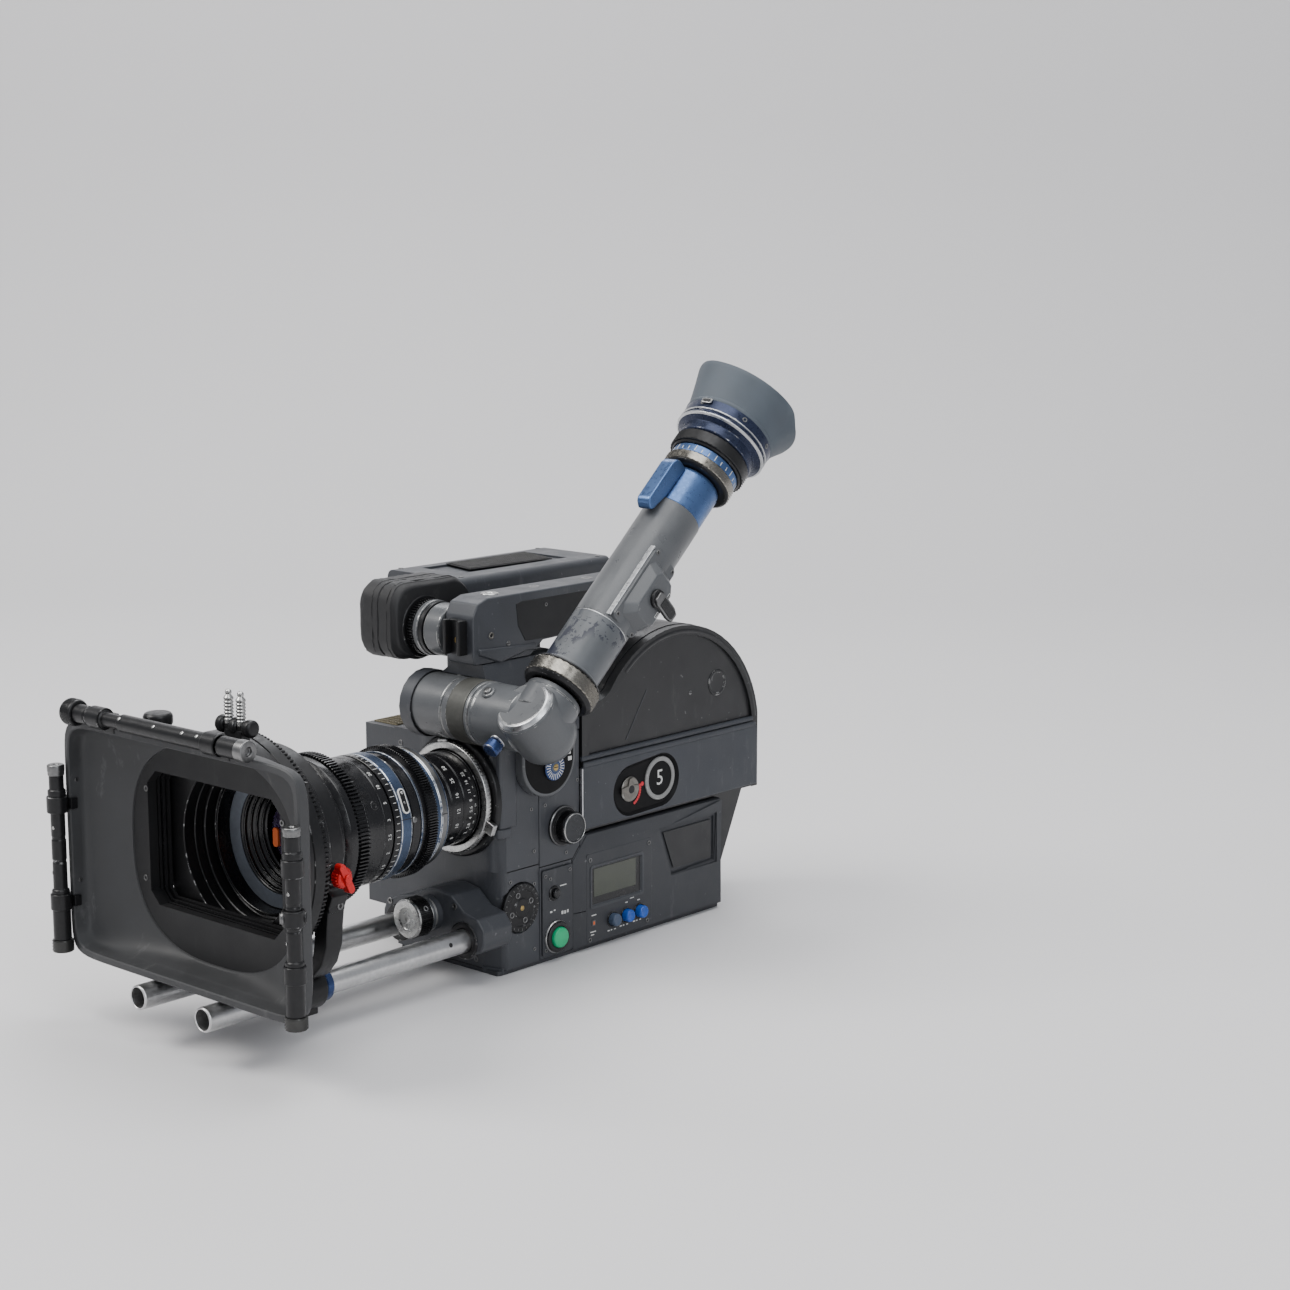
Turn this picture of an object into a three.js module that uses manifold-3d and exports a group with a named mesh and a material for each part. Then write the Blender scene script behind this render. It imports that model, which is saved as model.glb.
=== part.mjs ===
// Sync-sound film camera rig: body, coaxial film magazine, swing-out viewfinder, video assist,
// geared lens and matte box on a pair of support rods.
//
// Millimetres. +Z is up, -Y is the way the lens looks, +X is the operator's side (controls).
// The origin is on the underside of the base plate, below the lens axis, at the tripod screw line.
// Inside the camera group y = 0 is the front face of the body.
import * as THREE from "three";
import { mergeVertices } from "three/addons/utils/BufferGeometryUtils.js";
import Module from "manifold-3d";

const wasm = await Module();
wasm.setup();

// ---- Driving dimensions -------------------------------------------------------------------
const GAP = 0.3;                 // clearance between touching pieces
const SCREW_Y = 62;              // tripod screw line behind the body's front face
const BODY_LEFT = 36;            // operator's side plane
const BODY_RIGHT = -60;          // far side plane
const BASE_T = 3;                // base plate thickness
const FRONT_DEPTH = 36;          // depth of the front casting
const BODY_DEPTH = 74;           // front casting plus movement housing
const BODY_TOP = 150;
const REAR_END = 216;            // rear end of the electronics housing
const REAR_TOP = 79;
const WING_X = 24;               // inner face of the side wing
const WALL = 8;

const ROD_R = 7.5;               // 15 mm support rods on 60 mm centres
const ROD_BORE_R = 6;
const ROD_X = 30;
const ROD_Z = 29.3;
const ROD_FRONT = -232;
const AXIS_Z = ROD_Z + 85;       // lens axis 85 mm above the rods

const MAG_Y = 171;               // centre of the magazine's round end
const MAG_Z = 120;
const MAG_R = 86;
const MAG_RIGHT = -34;
const MAG_BOTTOM = 28;
const MAG_STEP_X = 23.4;         // below the door the magazine stands behind the side wing
const DOOR_X = 30;               // plane where the magazine's cover closes
const BAND_LOW = 82;
const BAND_HIGH = 128;
const FILM_W = 16;
const HINGE_X = DOOR_X + 0.2;    // door hinge at the back, on the parting plane
const HINGE_Y = MAG_Y + MAG_R - 1.5;

const PIVOT_Y = -1;              // viewfinder swing axis, along X
const PIVOT_Z = 171;
const FINDER_R = 20.4;
const FINDER_X = 71;             // optical axis of the viewfinder tube
const FINDER_TILT = 42.5;        // degrees above level, towards the back

const HOOD_Y = -221;             // front rim of the matte box hood
const HOOD_Z = 111.3;
const HOOD_HALF_W = 106;
const HOOD_HALF_H = 71.7;
const STAGE_FRONT = -196;        // filter stage
const STAGE_BACK = -172;
const STAGE_HALF_W = 80;
const STAGE_HALF_H = 69;
const OPENING_HALF_W = 61;
const OPENING_HALF_H = 41;
const BAR_X = 108;
const BAR_Y = -228;
const BAR_TOP_Z = 191;
const BAR_R = 4.5;

const HANDLE_LEFT = 20;
const HANDLE_RIGHT = -5;
const ASSIST_Y = 6;              // video assist relay axis, along X
const ASSIST_Z = 218.5;
const ASSIST_TOP = 243;

const FINE = 24;                 // facets round the large rings
const ROUND = 20;
const SMALL = 14;
const ARC = 12;                  // facets along a long arc of an outline

// ---- Solids -------------------------------------------------------------------------------
function toSolid(geometry) {
  const bare = geometry.index ? geometry.clone() : mergeVertices(geometry);
  bare.deleteAttribute("normal");
  bare.deleteAttribute("uv");
  const merged = mergeVertices(bare, 1e-4);
  const vertProperties = new Float32Array(merged.attributes.position.array);
  const triVerts = new Uint32Array(merged.index.array);
  const solid = new wasm.Manifold(new wasm.Mesh({ numProp: 3, vertProperties, triVerts }));
  if (solid.volume() > 0) return solid;
  for (let i = 0; i < triVerts.length; i += 3) {
    [triVerts[i], triVerts[i + 1]] = [triVerts[i + 1], triVerts[i]];
  }
  return new wasm.Manifold(new wasm.Mesh({ numProp: 3, vertProperties, triVerts }));
}

function toGeometry(solid) {
  const mesh = solid.getMesh();
  const count = mesh.vertProperties.length / mesh.numProp;
  const points = new Float32Array(count * 3);
  for (let i = 0; i < count; i += 1) {
    for (let k = 0; k < 3; k += 1) points[3 * i + k] = mesh.vertProperties[i * mesh.numProp + k];
  }
  const geometry = new THREE.BufferGeometry();
  geometry.setAttribute("position", new THREE.BufferAttribute(points, 3));
  geometry.setIndex(new THREE.BufferAttribute(new Uint32Array(mesh.triVerts), 1));
  geometry.computeVertexNormals();
  return geometry;
}

function join(first, ...others) {
  return toGeometry(others.reduce((sum, piece) => sum.add(toSolid(piece)), toSolid(first)));
}

function cut(base, ...tools) {
  return toGeometry(tools.reduce((rest, tool) => rest.subtract(toSolid(tool)), toSolid(base)));
}

// Box between two corners.
function block(x0, x1, y0, y1, z0, z1) {
  const box = new THREE.BoxGeometry(x1 - x0, y1 - y0, z1 - z0);
  return box.translate((x0 + x1) / 2, (y0 + y1) / 2, (z0 + z1) / 2);
}

// Solid turned about the Z axis from [radius, height] pairs.
function turned(profile, segments = FINE) {
  const points = profile.map(([r, z]) => new THREE.Vector2(r, z));
  return toGeometry(toSolid(new THREE.LatheGeometry(points, segments).rotateX(Math.PI / 2)));
}

function rod(r, z0, z1, segments = ROUND) {
  return turned([[0, z0], [r, z0], [r, z1], [0, z1]], segments);
}

function ring(rIn, rOut, z0, z1, segments = FINE) {
  return turned([[rIn, z0], [rOut, z0], [rOut, z1], [rIn, z1], [rIn, z0]], segments);
}

// Turn a solid that stands along Z so that it lies along X or along -Y.
function alongX(geometry) {
  return geometry.rotateY(Math.PI / 2);
}

function alongLens(geometry) {
  return geometry.rotateX(Math.PI / 2);
}

function prism(shape, depth, curveSegments = 12) {
  return new THREE.ExtrudeGeometry(shape, { depth, bevelEnabled: false, curveSegments });
}

// Outline given in (y, z), extruded along X from x0 to x1.
function sidePrism(shape, x0, x1, curveSegments = 12) {
  const flat = prism(shape, x1 - x0, curveSegments);
  const toSide = new THREE.Matrix4().makeBasis(
    new THREE.Vector3(0, 1, 0), new THREE.Vector3(0, 0, 1), new THREE.Vector3(1, 0, 0));
  return flat.applyMatrix4(toSide).translate(x0, 0, 0);
}

// Outline given in (x, z), extruded along Y from y0 to y1.
function frontPrism(shape, y0, y1, curveSegments = 12) {
  return prism(shape, y1 - y0, curveSegments).rotateX(Math.PI / 2).translate(0, y1, 0);
}

function outline(points) {
  return new THREE.Shape(points.map(([a, b]) => new THREE.Vector2(a, b)));
}

function roundedRect(a0, a1, b0, b1, r) {
  const shape = new THREE.Shape();
  shape.moveTo(a0 + r, b0);
  shape.lineTo(a1 - r, b0);
  shape.absarc(a1 - r, b0 + r, r, -Math.PI / 2, 0, false);
  shape.lineTo(a1, b1 - r);
  shape.absarc(a1 - r, b1 - r, r, 0, Math.PI / 2, false);
  shape.lineTo(a0 + r, b1);
  shape.absarc(a0 + r, b1 - r, r, Math.PI / 2, Math.PI, false);
  shape.lineTo(a0, b0 + r);
  shape.absarc(a0 + r, b0 + r, r, Math.PI, 1.5 * Math.PI, false);
  return shape;
}

// Closed band between loops of equal point count, the last loop joining the first.
function loopBand(loops) {
  const count = loops[0].length;
  const positions = loops.flat().flatMap((p) => [p.x, p.y, p.z]);
  const index = [];
  for (let i = 0; i < loops.length; i += 1) {
    const next = (i + 1) % loops.length;
    for (let k = 0; k < count; k += 1) {
      const a = i * count + k;
      const b = i * count + (k + 1) % count;
      const c = next * count + k;
      const d = next * count + (k + 1) % count;
      index.push(a, b, d, a, d, c);
    }
  }
  const geometry = new THREE.BufferGeometry();
  geometry.setAttribute("position", new THREE.Float32BufferAttribute(positions, 3));
  geometry.setIndex(index);
  return toGeometry(toSolid(geometry));
}

// ---- Finishes -----------------------------------------------------------------------------
function finish(color, roughness, metalness) {
  return new THREE.MeshStandardMaterial({ color, roughness, metalness });
}

const FINISH = {
  bodyPaint: () => finish(0x3a3d42, 0.62, 0.25),
  lightPaint: () => finish(0x5c6064, 0.5, 0.3),
  coverBlack: () => finish(0x1c1e21, 0.5, 0.2),
  blackMetal: () => finish(0x111214, 0.35, 0.6),
  rodMetal: () => finish(0xb9bbbd, 0.35, 0.95),
  steel: () => finish(0xa8a8a4, 0.3, 1.0),
  blueMetal: () => finish(0x2d4268, 0.3, 0.8),
  hoodPlastic: () => finish(0x37393b, 0.8, 0.0),
  blackPlastic: () => finish(0x0e0f10, 0.45, 0.0),
  rubber: () => finish(0x4d5a66, 0.75, 0.0),
  glass: () => finish(0x2b2340, 0.05, 0.0),
  green: () => finish(0x12a566, 0.35, 0.0),
  blueButton: () => finish(0x1f57c4, 0.35, 0.0),
  red: () => finish(0xd0202a, 0.35, 0.3),
  film: () => finish(0x6b5348, 0.4, 0.0),
};

function place(group, name, geometry, material, position = [0, 0, 0]) {
  const mesh = new THREE.Mesh(geometry, material());
  mesh.name = name;
  mesh.position.set(...position);
  group.add(mesh);
  return mesh;
}

function groupAt(parent, x, y, z) {
  const group = new THREE.Group();
  group.position.set(x, y, z);
  parent.add(group);
  return group;
}

// ---- Body ---------------------------------------------------------------------------------
function addBasePlate(body) {
  let plate = prism(roundedRect(BODY_RIGHT + 2, BODY_LEFT - 2, 0, REAR_END + 2, 3), BASE_T, 3);
  for (const dy of [-22, 22]) {
    plate = cut(plate, rod(4.8, -1, BASE_T + 1, SMALL).translate(0, SCREW_Y + dy, 0));
  }
  place(body, "base_plate", plate, FINISH.blackMetal);
}

// Front casting: lens port, bevelled corner beside the inching knob, open at the back.
function addFrontHousing(body) {
  const facet = 8;
  const shape = outline([
    [BODY_RIGHT, 0], [BODY_LEFT - facet, 0], [BODY_LEFT, facet * 0.8],
    [BODY_LEFT, FRONT_DEPTH], [BODY_RIGHT, FRONT_DEPTH],
  ]);
  const shell = prism(shape, BODY_TOP - BASE_T - GAP).translate(0, 0, BASE_T + GAP);
  const chamber = block(
    BODY_RIGHT + WALL, BODY_LEFT - WALL, WALL, FRONT_DEPTH + 1, BASE_T + 2 * WALL, BODY_TOP - WALL);
  const port = alongLens(rod(29, -WALL - 2, 2)).translate(0, 0, AXIS_Z);
  const knobSeat = alongX(rod(17, 0, 5)).translate(BODY_LEFT - 2.2, 18.5, 42.3);
  place(body, "front_housing", cut(shell, chamber, port, knobSeat), FINISH.bodyPaint);
}

// Movement housing behind it, with the film port in its back wall.
function addMainHousing(body) {
  const y0 = FRONT_DEPTH + GAP;
  const shell = block(BODY_RIGHT, BODY_LEFT, y0, BODY_DEPTH, BASE_T + GAP, BODY_TOP);
  const chamber = block(
    BODY_RIGHT + WALL, BODY_LEFT - WALL, y0 - 1, BODY_DEPTH - WALL, BASE_T + 2 * WALL, BODY_TOP - WALL);
  const filmPort = block(-12, 12, BODY_DEPTH - WALL - 1, BODY_DEPTH + 1, AXIS_Z - 14, AXIS_Z + 14);
  place(body, "main_housing", cut(shell, chamber, filmPort), FINISH.bodyPaint);
}

// Turret on top: collar around the viewfinder barrel and seat of the carrying handle.
function addTurret(body) {
  const shape = outline([
    [-32, BODY_TOP + GAP], [BODY_LEFT, BODY_TOP + GAP], [BODY_LEFT, 158], [23, 190],
    [HANDLE_LEFT, 200], [HANDLE_RIGHT, 200], [-24, 187], [-32, 174],
  ]);
  const turret = frontPrism(shape, 3, BODY_DEPTH);
  const collar = alongX(rod(FINDER_R + 1.5, -30, -20)).translate(0, PIVOT_Y, PIVOT_Z);
  const seat = alongX(rod(FINDER_R + 0.6, -22, BODY_LEFT + 1)).translate(0, PIVOT_Y, PIVOT_Z);
  const hollow = block(-20, 20, 28, BODY_DEPTH + 1, BODY_TOP + GAP + 6, 186);
  const deck = block(-40, 40, -30, BODY_DEPTH, BODY_TOP - 10, BODY_TOP + GAP);
  place(body, "turret_housing", cut(join(turret, collar), seat, hollow, deck), FINISH.bodyPaint);
}

// Electronics housing: a floor under the magazine and a side wing that carries the display.
function addRearHousing(body) {
  const y0 = BODY_DEPTH + GAP;
  const wing = block(WING_X, BODY_LEFT, y0, REAR_END, BASE_T + GAP, REAR_TOP);
  const floor = block(BODY_RIGHT, WING_X + 1, y0, REAR_END, BASE_T + GAP, MAG_BOTTOM - 1);
  const wingRoom = block(WING_X + 3, BODY_LEFT - 3, y0 + 6, REAR_END - 6, BASE_T + 6, REAR_TOP - 6);
  const floorRoom = block(BODY_RIGHT + 5, WING_X + 4, y0 + 6, REAR_END - 6, BASE_T + 6, MAG_BOTTOM - 5);
  const window = block(BODY_LEFT - 4, BODY_LEFT + 1, 84, 136, 10, 58);
  place(body, "rear_housing", cut(join(wing, floor), wingRoom, floorRoom, window), FINISH.bodyPaint);
}

// Motor and board housing on the far side, with cooling slots in its top and a post for the assist.
function addSideHousing(body) {
  const x0 = BODY_RIGHT - 28;
  const x1 = BODY_RIGHT - GAP;
  const shell = block(x0, x1, 0.3, 148, 28, BODY_TOP - 1);
  const hollow = block(x0 + 4, x1 - 4, 5, 143, 33, BODY_TOP - 4);
  const post = block(x0 + 3, x1 - 3, 72, 140, BODY_TOP - 2, ASSIST_TOP - 44.6);
  let housing = join(cut(shell, hollow), post);
  for (let i = 0; i < 8; i += 1) {
    const y = 9 + 7 * i;
    housing = cut(housing, block(x0 + 6, x1 - 6, y, y + 3.4, BODY_TOP - 6, BODY_TOP + 1));
  }
  place(body, "side_housing", housing, FINISH.bodyPaint);
}

function addLensPort(body) {
  const port = groupAt(body, 0, 0, AXIS_Z);
  const barrelRoom = alongX(rod(FINDER_R + 0.8, -60, 60)).translate(0, PIVOT_Y, PIVOT_Z - AXIS_Z);
  const portRing = cut(alongLens(ring(34.2, 39.6, GAP, 5)), barrelRoom);
  place(port, "lens_port_ring", portRing, FINISH.blackMetal);
  const lug = block(-4, 4, 32, 43, 5.8, 10).rotateZ((-112 * Math.PI) / 180);
  const lock = join(ring(30.6, 33.8, 1, 5.8), ring(30.6, 36, 5.6, 10.5), lug);
  place(port, "lens_lock_ring", alongLens(lock), FINISH.steel);
}

function addMovement(body) {
  const gate = cut(block(-14, 14, 57, 65.7, AXIS_Z - 20, AXIS_Z + 20),
    block(-6.3, 6.3, 50, 70, AXIS_Z - 3.8, AXIS_Z + 3.8));
  place(body, "film_gate", gate, FINISH.steel);
  // Spinning mirror: half disc at 45 degrees behind the port, facing forward and up, on a hub
  // beside the lens axis.
  const hubX = -23;
  const hubY = 31;
  const half = new THREE.Shape();
  half.absarc(0, 0, 26, -Math.PI / 2, Math.PI / 2, false);
  half.absarc(0, 0, 7, Math.PI / 2, 1.5 * Math.PI, false);
  const mirror = join(prism(half, 1.6, 10), rod(6, 0.2, 9, SMALL));
  const mesh = place(body, "mirror_shutter", mirror, FINISH.steel, [hubX, hubY, AXIS_Z]);
  mesh.rotation.x = Math.PI / 4;
  mesh.rotateX(Math.PI);
}

// ---- Controls on the operator's side --------------------------------------------------------
function addControls(body) {
  const x = BODY_LEFT + GAP;
  const plateShape = roundedRect(FRONT_DEPTH + 1, BODY_DEPTH - 1, 5, 62, 2);
  const runHole = alongX(rod(6.5, -1, 9, ROUND)).translate(BODY_LEFT, 50, 16.5);
  const testHole = alongX(rod(3.6, -1, 9, SMALL)).translate(BODY_LEFT, 48, 46);
  const bezel = alongX(ring(6.5, 10, 1, 4.2, ROUND)).translate(x, 50, 16.5);
  const plate = join(cut(sidePrism(plateShape, x, x + 1.6, 4), runHole, testHole), bezel);
  place(body, "control_plate", plate, FINISH.blackPlastic);
  const runButton = alongX(turned([[0, 1.6], [6, 1.6], [6, 5], [4.6, 6.4], [0, 6.8]], ROUND));
  place(body, "run_button", runButton, FINISH.green, [x, 50, 16.5]);
  const testButton = alongX(turned([[0, 1.3], [3.1, 1.3], [3.1, 3.6], [0, 4.2]], SMALL));
  place(body, "test_button", testButton, FINISH.blackPlastic, [x, 48, 46]);

  const knobProfile = [[0, 0], [13, 0], [13, 2.4], [10.6, 3.4], [10.4, 10.8], [9.4, 11.6], [0, 11.6]];
  place(body, "phase_knob", alongX(turned(knobProfile, ROUND)), FINISH.bodyPaint, [x, 57.5, 89]);
  const discProfile = [[0, 0], [16.5, 0], [16.5, 3.2], [13, 3.8], [7, 3.8], [7, 2], [0, 2]];
  place(body, "inching_knob", alongX(turned(discProfile, ROUND)), FINISH.blackMetal,
    [BODY_LEFT - 1.8, 18.5, 42.3]);
}

function addDisplay(body) {
  const x = BODY_LEFT + GAP;
  let panel = sidePrism(roundedRect(77, 142.5, 4, 66, 2), x, x + 2.7, 4);
  panel = cut(panel, block(x - 1, x + 4, 85, 132, 30, 55));
  const buttonR = 4.35;
  const buttons = [
    ["display_button_left", 102.5, FINISH.blackPlastic],
    ["display_button_middle", 115.7, FINISH.blueButton],
    ["display_button_right", 128.9, FINISH.blueButton],
  ];
  for (const [, y] of buttons) {
    panel = cut(panel, alongX(rod(buttonR + 0.4, -1, 5, SMALL)).translate(x, y, 16.8));
  }
  place(body, "display_panel", panel, FINISH.bodyPaint);
  for (const [name, y, material] of buttons) {
    const cap = alongX(turned([[0, 0], [buttonR, 0], [buttonR, 4], [3.2, 5], [0, 5.2]], SMALL));
    place(body, name, cap, material, [x, y, 16.8]);
  }
}

// Plate with a round lower end under the viewfinder elbow, and the setting dial on it.
function addFinderPlate(body) {
  const r = 24;
  const midY = 37.5;
  const midZ = 137;
  const shape = new THREE.Shape();
  shape.absarc(midY, midZ, r, Math.PI, 2 * Math.PI, false);
  shape.lineTo(midY + r, 164);
  shape.lineTo(midY - r, 164);
  const barrelRoom = alongX(rod(FINDER_R + 0.8, 0, 60)).translate(0, PIVOT_Y, PIVOT_Z);
  const plate = cut(sidePrism(shape, BODY_LEFT + GAP, 44.7, 12), barrelRoom);
  place(body, "finder_plate", plate, FINISH.lightPaint);
  const dial = alongX(turned([[0, 0], [9, 0], [9, 1.4], [7.4, 2.4], [0, 2.4]], ROUND));
  place(body, "finder_dial", dial, FINISH.blueMetal, [45, 41, 132]);
}

// ---- Support rods ---------------------------------------------------------------------------
function addRods(body) {
  const y1 = -GAP;
  const y0 = -26;
  const ends = [-ROD_X, ROD_X].map((x) => alongLens(rod(15, -y1, -y0, ROUND)).translate(x, 0, ROD_Z));
  const hump = alongLens(rod(19, -y1, -y0, ROUND)).translate(0, 0, ROD_Z + 7);
  const web = block(-ROD_X, ROD_X, y0, y1, ROD_Z - 15, ROD_Z + 15);
  const socket = alongLens(rod(10.5, -y0 - 1, 34, ROUND)).translate(0, 0, 42);
  const bores = [-ROD_X, ROD_X].map(
    (x) => alongLens(rod(ROD_R + GAP, -1, 40, ROUND)).translate(x, 0, ROD_Z));
  const bracket = cut(join(web, ...ends, hump, socket), ...bores);
  place(body, "rod_bracket", bracket, FINISH.bodyPaint);
  for (const [name, x] of [["rod_far", -ROD_X], ["rod_near", ROD_X]]) {
    const tube = alongLens(ring(ROD_BORE_R, ROD_R, 1, -ROD_FRONT, ROUND));
    place(body, name, tube, FINISH.rodMetal, [x, 0, ROD_Z]);
  }
  const knob = turned([[0, 34.4], [12.5, 34.4], [13, 36], [13, 46], [11.8, 47], [0, 47]], ROUND);
  place(body, "rod_clamp_knob", alongLens(knob), FINISH.steel, [0, 0, 42]);
}

// ---- Lens -------------------------------------------------------------------------------------
function addLens(body) {
  const lens = groupAt(body, 0, 0, AXIS_Z);
  lens.rotation.x = Math.PI / 2;
  const barrel = turned([
    [22, -4], [28.5, -4], [28.5, 5], [30.2, 5], [30.2, 11], [26, 11], [26, 42], [33, 42], [33, 75],
    [40, 75], [40, 91.5], [36, 91.5], [36, 134.3], [45.5, 134.3], [45.5, 158], [43.5, 160],
    [41, 160], [32, 147], [32, 120], [22, 100], [22, -4],
  ], FINE);
  place(lens, "lens_barrel", barrel, FINISH.blackMetal);
  place(lens, "iris_ring", ring(26.5, 30, 11.6, 41.4), FINISH.blackMetal);
  const zoomProfile = [
    [33.6, 43], [36.5, 43], [38, 46], [38, 54], [41.5, 56], [41.5, 64], [38.5, 66], [38.5, 74.4],
    [33.6, 74.4], [33.6, 43],
  ];
  place(lens, "zoom_ring", turned(zoomProfile, FINE), FINISH.blueMetal);
  const focusProfile = [
    [36.6, 92], [40, 92], [40, 115], [47, 116], [47, 131], [43, 134], [36.6, 134], [36.6, 92],
  ];
  place(lens, "focus_ring", turned(focusProfile, FINE), FINISH.blackMetal);
  const frontGlass = turned([[0, 128], [31, 128], [31.6, 136], [20, 140.4], [0, 142.5]], ROUND);
  place(lens, "front_glass", frontGlass, FINISH.glass);
}

// ---- Matte box --------------------------------------------------------------------------------
// Loop of points on a rounded rectangle (power > 2) in the plane y, centred on z.
function hoodLoop(halfW, halfH, power, y, z) {
  const count = 32;
  return Array.from({ length: count }, (_, i) => {
    const angle = (2 * Math.PI * i) / count;
    const c = Math.cos(angle);
    const s = Math.sin(angle);
    const reach = (Math.abs(c) ** power + Math.abs(s) ** power) ** (-1 / power);
    return new THREE.Vector3(halfW * c * reach, y, z + halfH * s * reach);
  });
}

// Collar that carries a flag bar, standing on the rim of the hood. The bar lies along Z.
function barCollar(length) {
  const foot = block(-5, 5, BAR_R + 1, 9.5, -length / 2, length / 2);
  return [join(rod(7.4, -length / 2, length / 2, SMALL), foot), rod(BAR_R + GAP, -length, length, SMALL)];
}

function addHood(box) {
  const wall = 3;
  const back = STAGE_FRONT - GAP;
  let hood = loopBand([
    hoodLoop(HOOD_HALF_W, HOOD_HALF_H, 14, HOOD_Y, HOOD_Z),
    hoodLoop(78 + wall, 67 + wall, 3.2, back, HOOD_Z),
    hoodLoop(78, 67, 2.6, back, HOOD_Z),
    hoodLoop(HOOD_HALF_W - wall, HOOD_HALF_H - wall, 14, HOOD_Y, HOOD_Z),
  ]);
  for (const side of [-1, 1]) {
    for (const z of [72, 132]) {
      const [collar, hole] = barCollar(10).map((p) => p.translate(side * BAR_X, BAR_Y, z));
      const arm = block(Math.min(side * 100, side * BAR_X), Math.max(side * 100, side * BAR_X),
        HOOD_Y - 2.2, HOOD_Y + 2.5, z - 5, z + 5);
      hood = join(hood, cut(join(collar, arm), hole));
    }
  }
  for (const x of [-62, 44]) {
    const [collar, hole] = barCollar(12).map((p) => alongX(p).translate(x, BAR_Y, BAR_TOP_Z));
    const arm = block(x - 6, x + 6, HOOD_Y - 2.2, HOOD_Y + 2.5, HOOD_Z + HOOD_HALF_H - 4, BAR_TOP_Z + 3);
    hood = join(hood, cut(join(collar, arm), hole));
  }
  place(box, "matte_hood", hood, FINISH.hoodPlastic);
}

// Filter stage: opening in front, tray slot from the far side, ring around the lens behind.
function addFilterStage(box) {
  const frame = frontPrism(
    roundedRect(-STAGE_HALF_W, STAGE_HALF_W, HOOD_Z - STAGE_HALF_H, HOOD_Z + STAGE_HALF_H, 26),
    STAGE_FRONT, STAGE_BACK, 8);
  const opening = block(-OPENING_HALF_W, OPENING_HALF_W, STAGE_FRONT - 1, STAGE_BACK - 5,
    AXIS_Z - OPENING_HALF_H, AXIS_Z + OPENING_HALF_H);
  const slot = block(-STAGE_HALF_W - 1, 70, -190, -181.5, AXIS_Z - 52, AXIS_Z + 52);
  const lensHole = alongLens(rod(49, 150, 180, FINE)).translate(0, 0, AXIS_Z);
  const collar = alongLens(ring(46.5, 58, 146, -STAGE_BACK + 1, FINE)).translate(0, 0, AXIS_Z);
  const boss = alongX(rod(7, 50, 62, SMALL)).translate(0, -159, 105);
  const bore = alongLens(rod(46.5, 140, 175, FINE)).translate(0, 0, AXIS_Z);
  const stage = cut(join(cut(frame, opening, slot, lensHole), collar, boss), bore);
  place(box, "filter_stage", stage, FINISH.blackMetal);

  const tray = cut(block(-STAGE_HALF_W - 4, 69.5, -189.5, -182, AXIS_Z - 51.5, AXIS_Z + 51.5),
    block(-OPENING_HALF_W, OPENING_HALF_W, -195, -175, AXIS_Z - OPENING_HALF_H, AXIS_Z + OPENING_HALF_H));
  place(box, "filter_tray", tray, FINISH.blackPlastic);
  const thumbscrew = alongX(turned([[0, 0], [3, 0], [3, 3], [6, 3], [6, 12], [0, 12]], SMALL));
  place(box, "red_thumbscrew", thumbscrew, FINISH.red, [62.3, -159, 105]);
}

function addMatteClamp(box) {
  const y0 = -168;
  const y1 = -147;
  const bridge = block(-42, 42, y0, y1, 18, 41);
  const arm = block(-13, 13, y0, y1, 40, 55.9);
  const foot = block(10, 38, y0 + 3, y1 - 3, 14, 19);
  const bores = [-ROD_X, ROD_X].map(
    (x) => alongLens(rod(ROD_R + GAP, 140, 175, ROUND)).translate(x, 0, ROD_Z));
  place(box, "matte_clamp", cut(join(bridge, arm, foot), ...bores), FINISH.blackMetal);
}

function addFlagBars(box) {
  const z0 = 41;
  const z1 = 155;
  for (const [name, x] of [["flag_bar_far", -BAR_X], ["flag_bar_near", BAR_X]]) {
    const bar = turned([
      [0, z0], [7, z0], [7, z0 + 9], [BAR_R, z0 + 10], [BAR_R, z1 - 5], [6, z1 - 5], [6, z1], [0, z1],
    ], SMALL);
    place(box, name, bar, FINISH.blackMetal, [x, BAR_Y, 0]);
  }
  const x0 = -92;
  const x1 = 74;
  const topBar = alongX(turned([
    [0, x0], [8, x0], [8, x0 + 11], [BAR_R, x0 + 12], [BAR_R, x1 - 6], [6.4, x1 - 6], [6.4, x1], [0, x1],
  ], SMALL));
  place(box, "flag_bar_top", topBar, FINISH.blackMetal, [0, BAR_Y, BAR_TOP_Z]);
}

// ---- Handle and video assist ------------------------------------------------------------------
function addHandle(body) {
  const shape = outline([
    [-3, 200 + GAP], [-5, 206], [-5, 231], [-1, 239], [8, 242], [148, 242], [154, 237], [155, 222],
    [150, 212], [58, 209], [46, 200 + GAP],
  ]);
  place(body, "handle_body", sidePrism(shape, HANDLE_RIGHT, HANDLE_LEFT), FINISH.bodyPaint);
  const base = block(0, 15, -7.6, -5 - GAP, 207, 229);
  const rails = [0, 12.4].map((x) => block(x, x + 2.6, -12.4, -7, 207, 229));
  place(body, "accessory_shoe", join(base, ...rails), FINISH.blackMetal);
}

function addFinderBarrel(body) {
  const barrel = alongX(turned([
    [14, -21.6], [FINDER_R, -21.6], [FINDER_R, 6], [15.5, 6], [15.5, 29.4], [14, 29.4], [14, -21.6],
  ], ROUND));
  place(body, "finder_barrel", barrel, FINISH.lightPaint, [0, PIVOT_Y, PIVOT_Z]);
  const lock = alongX(ring(15.9, FINDER_R, 6.4, 29.6, ROUND));
  place(body, "finder_lock_ring", lock, FINISH.lightPaint, [0, PIVOT_Y, PIVOT_Z]);
}

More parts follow.
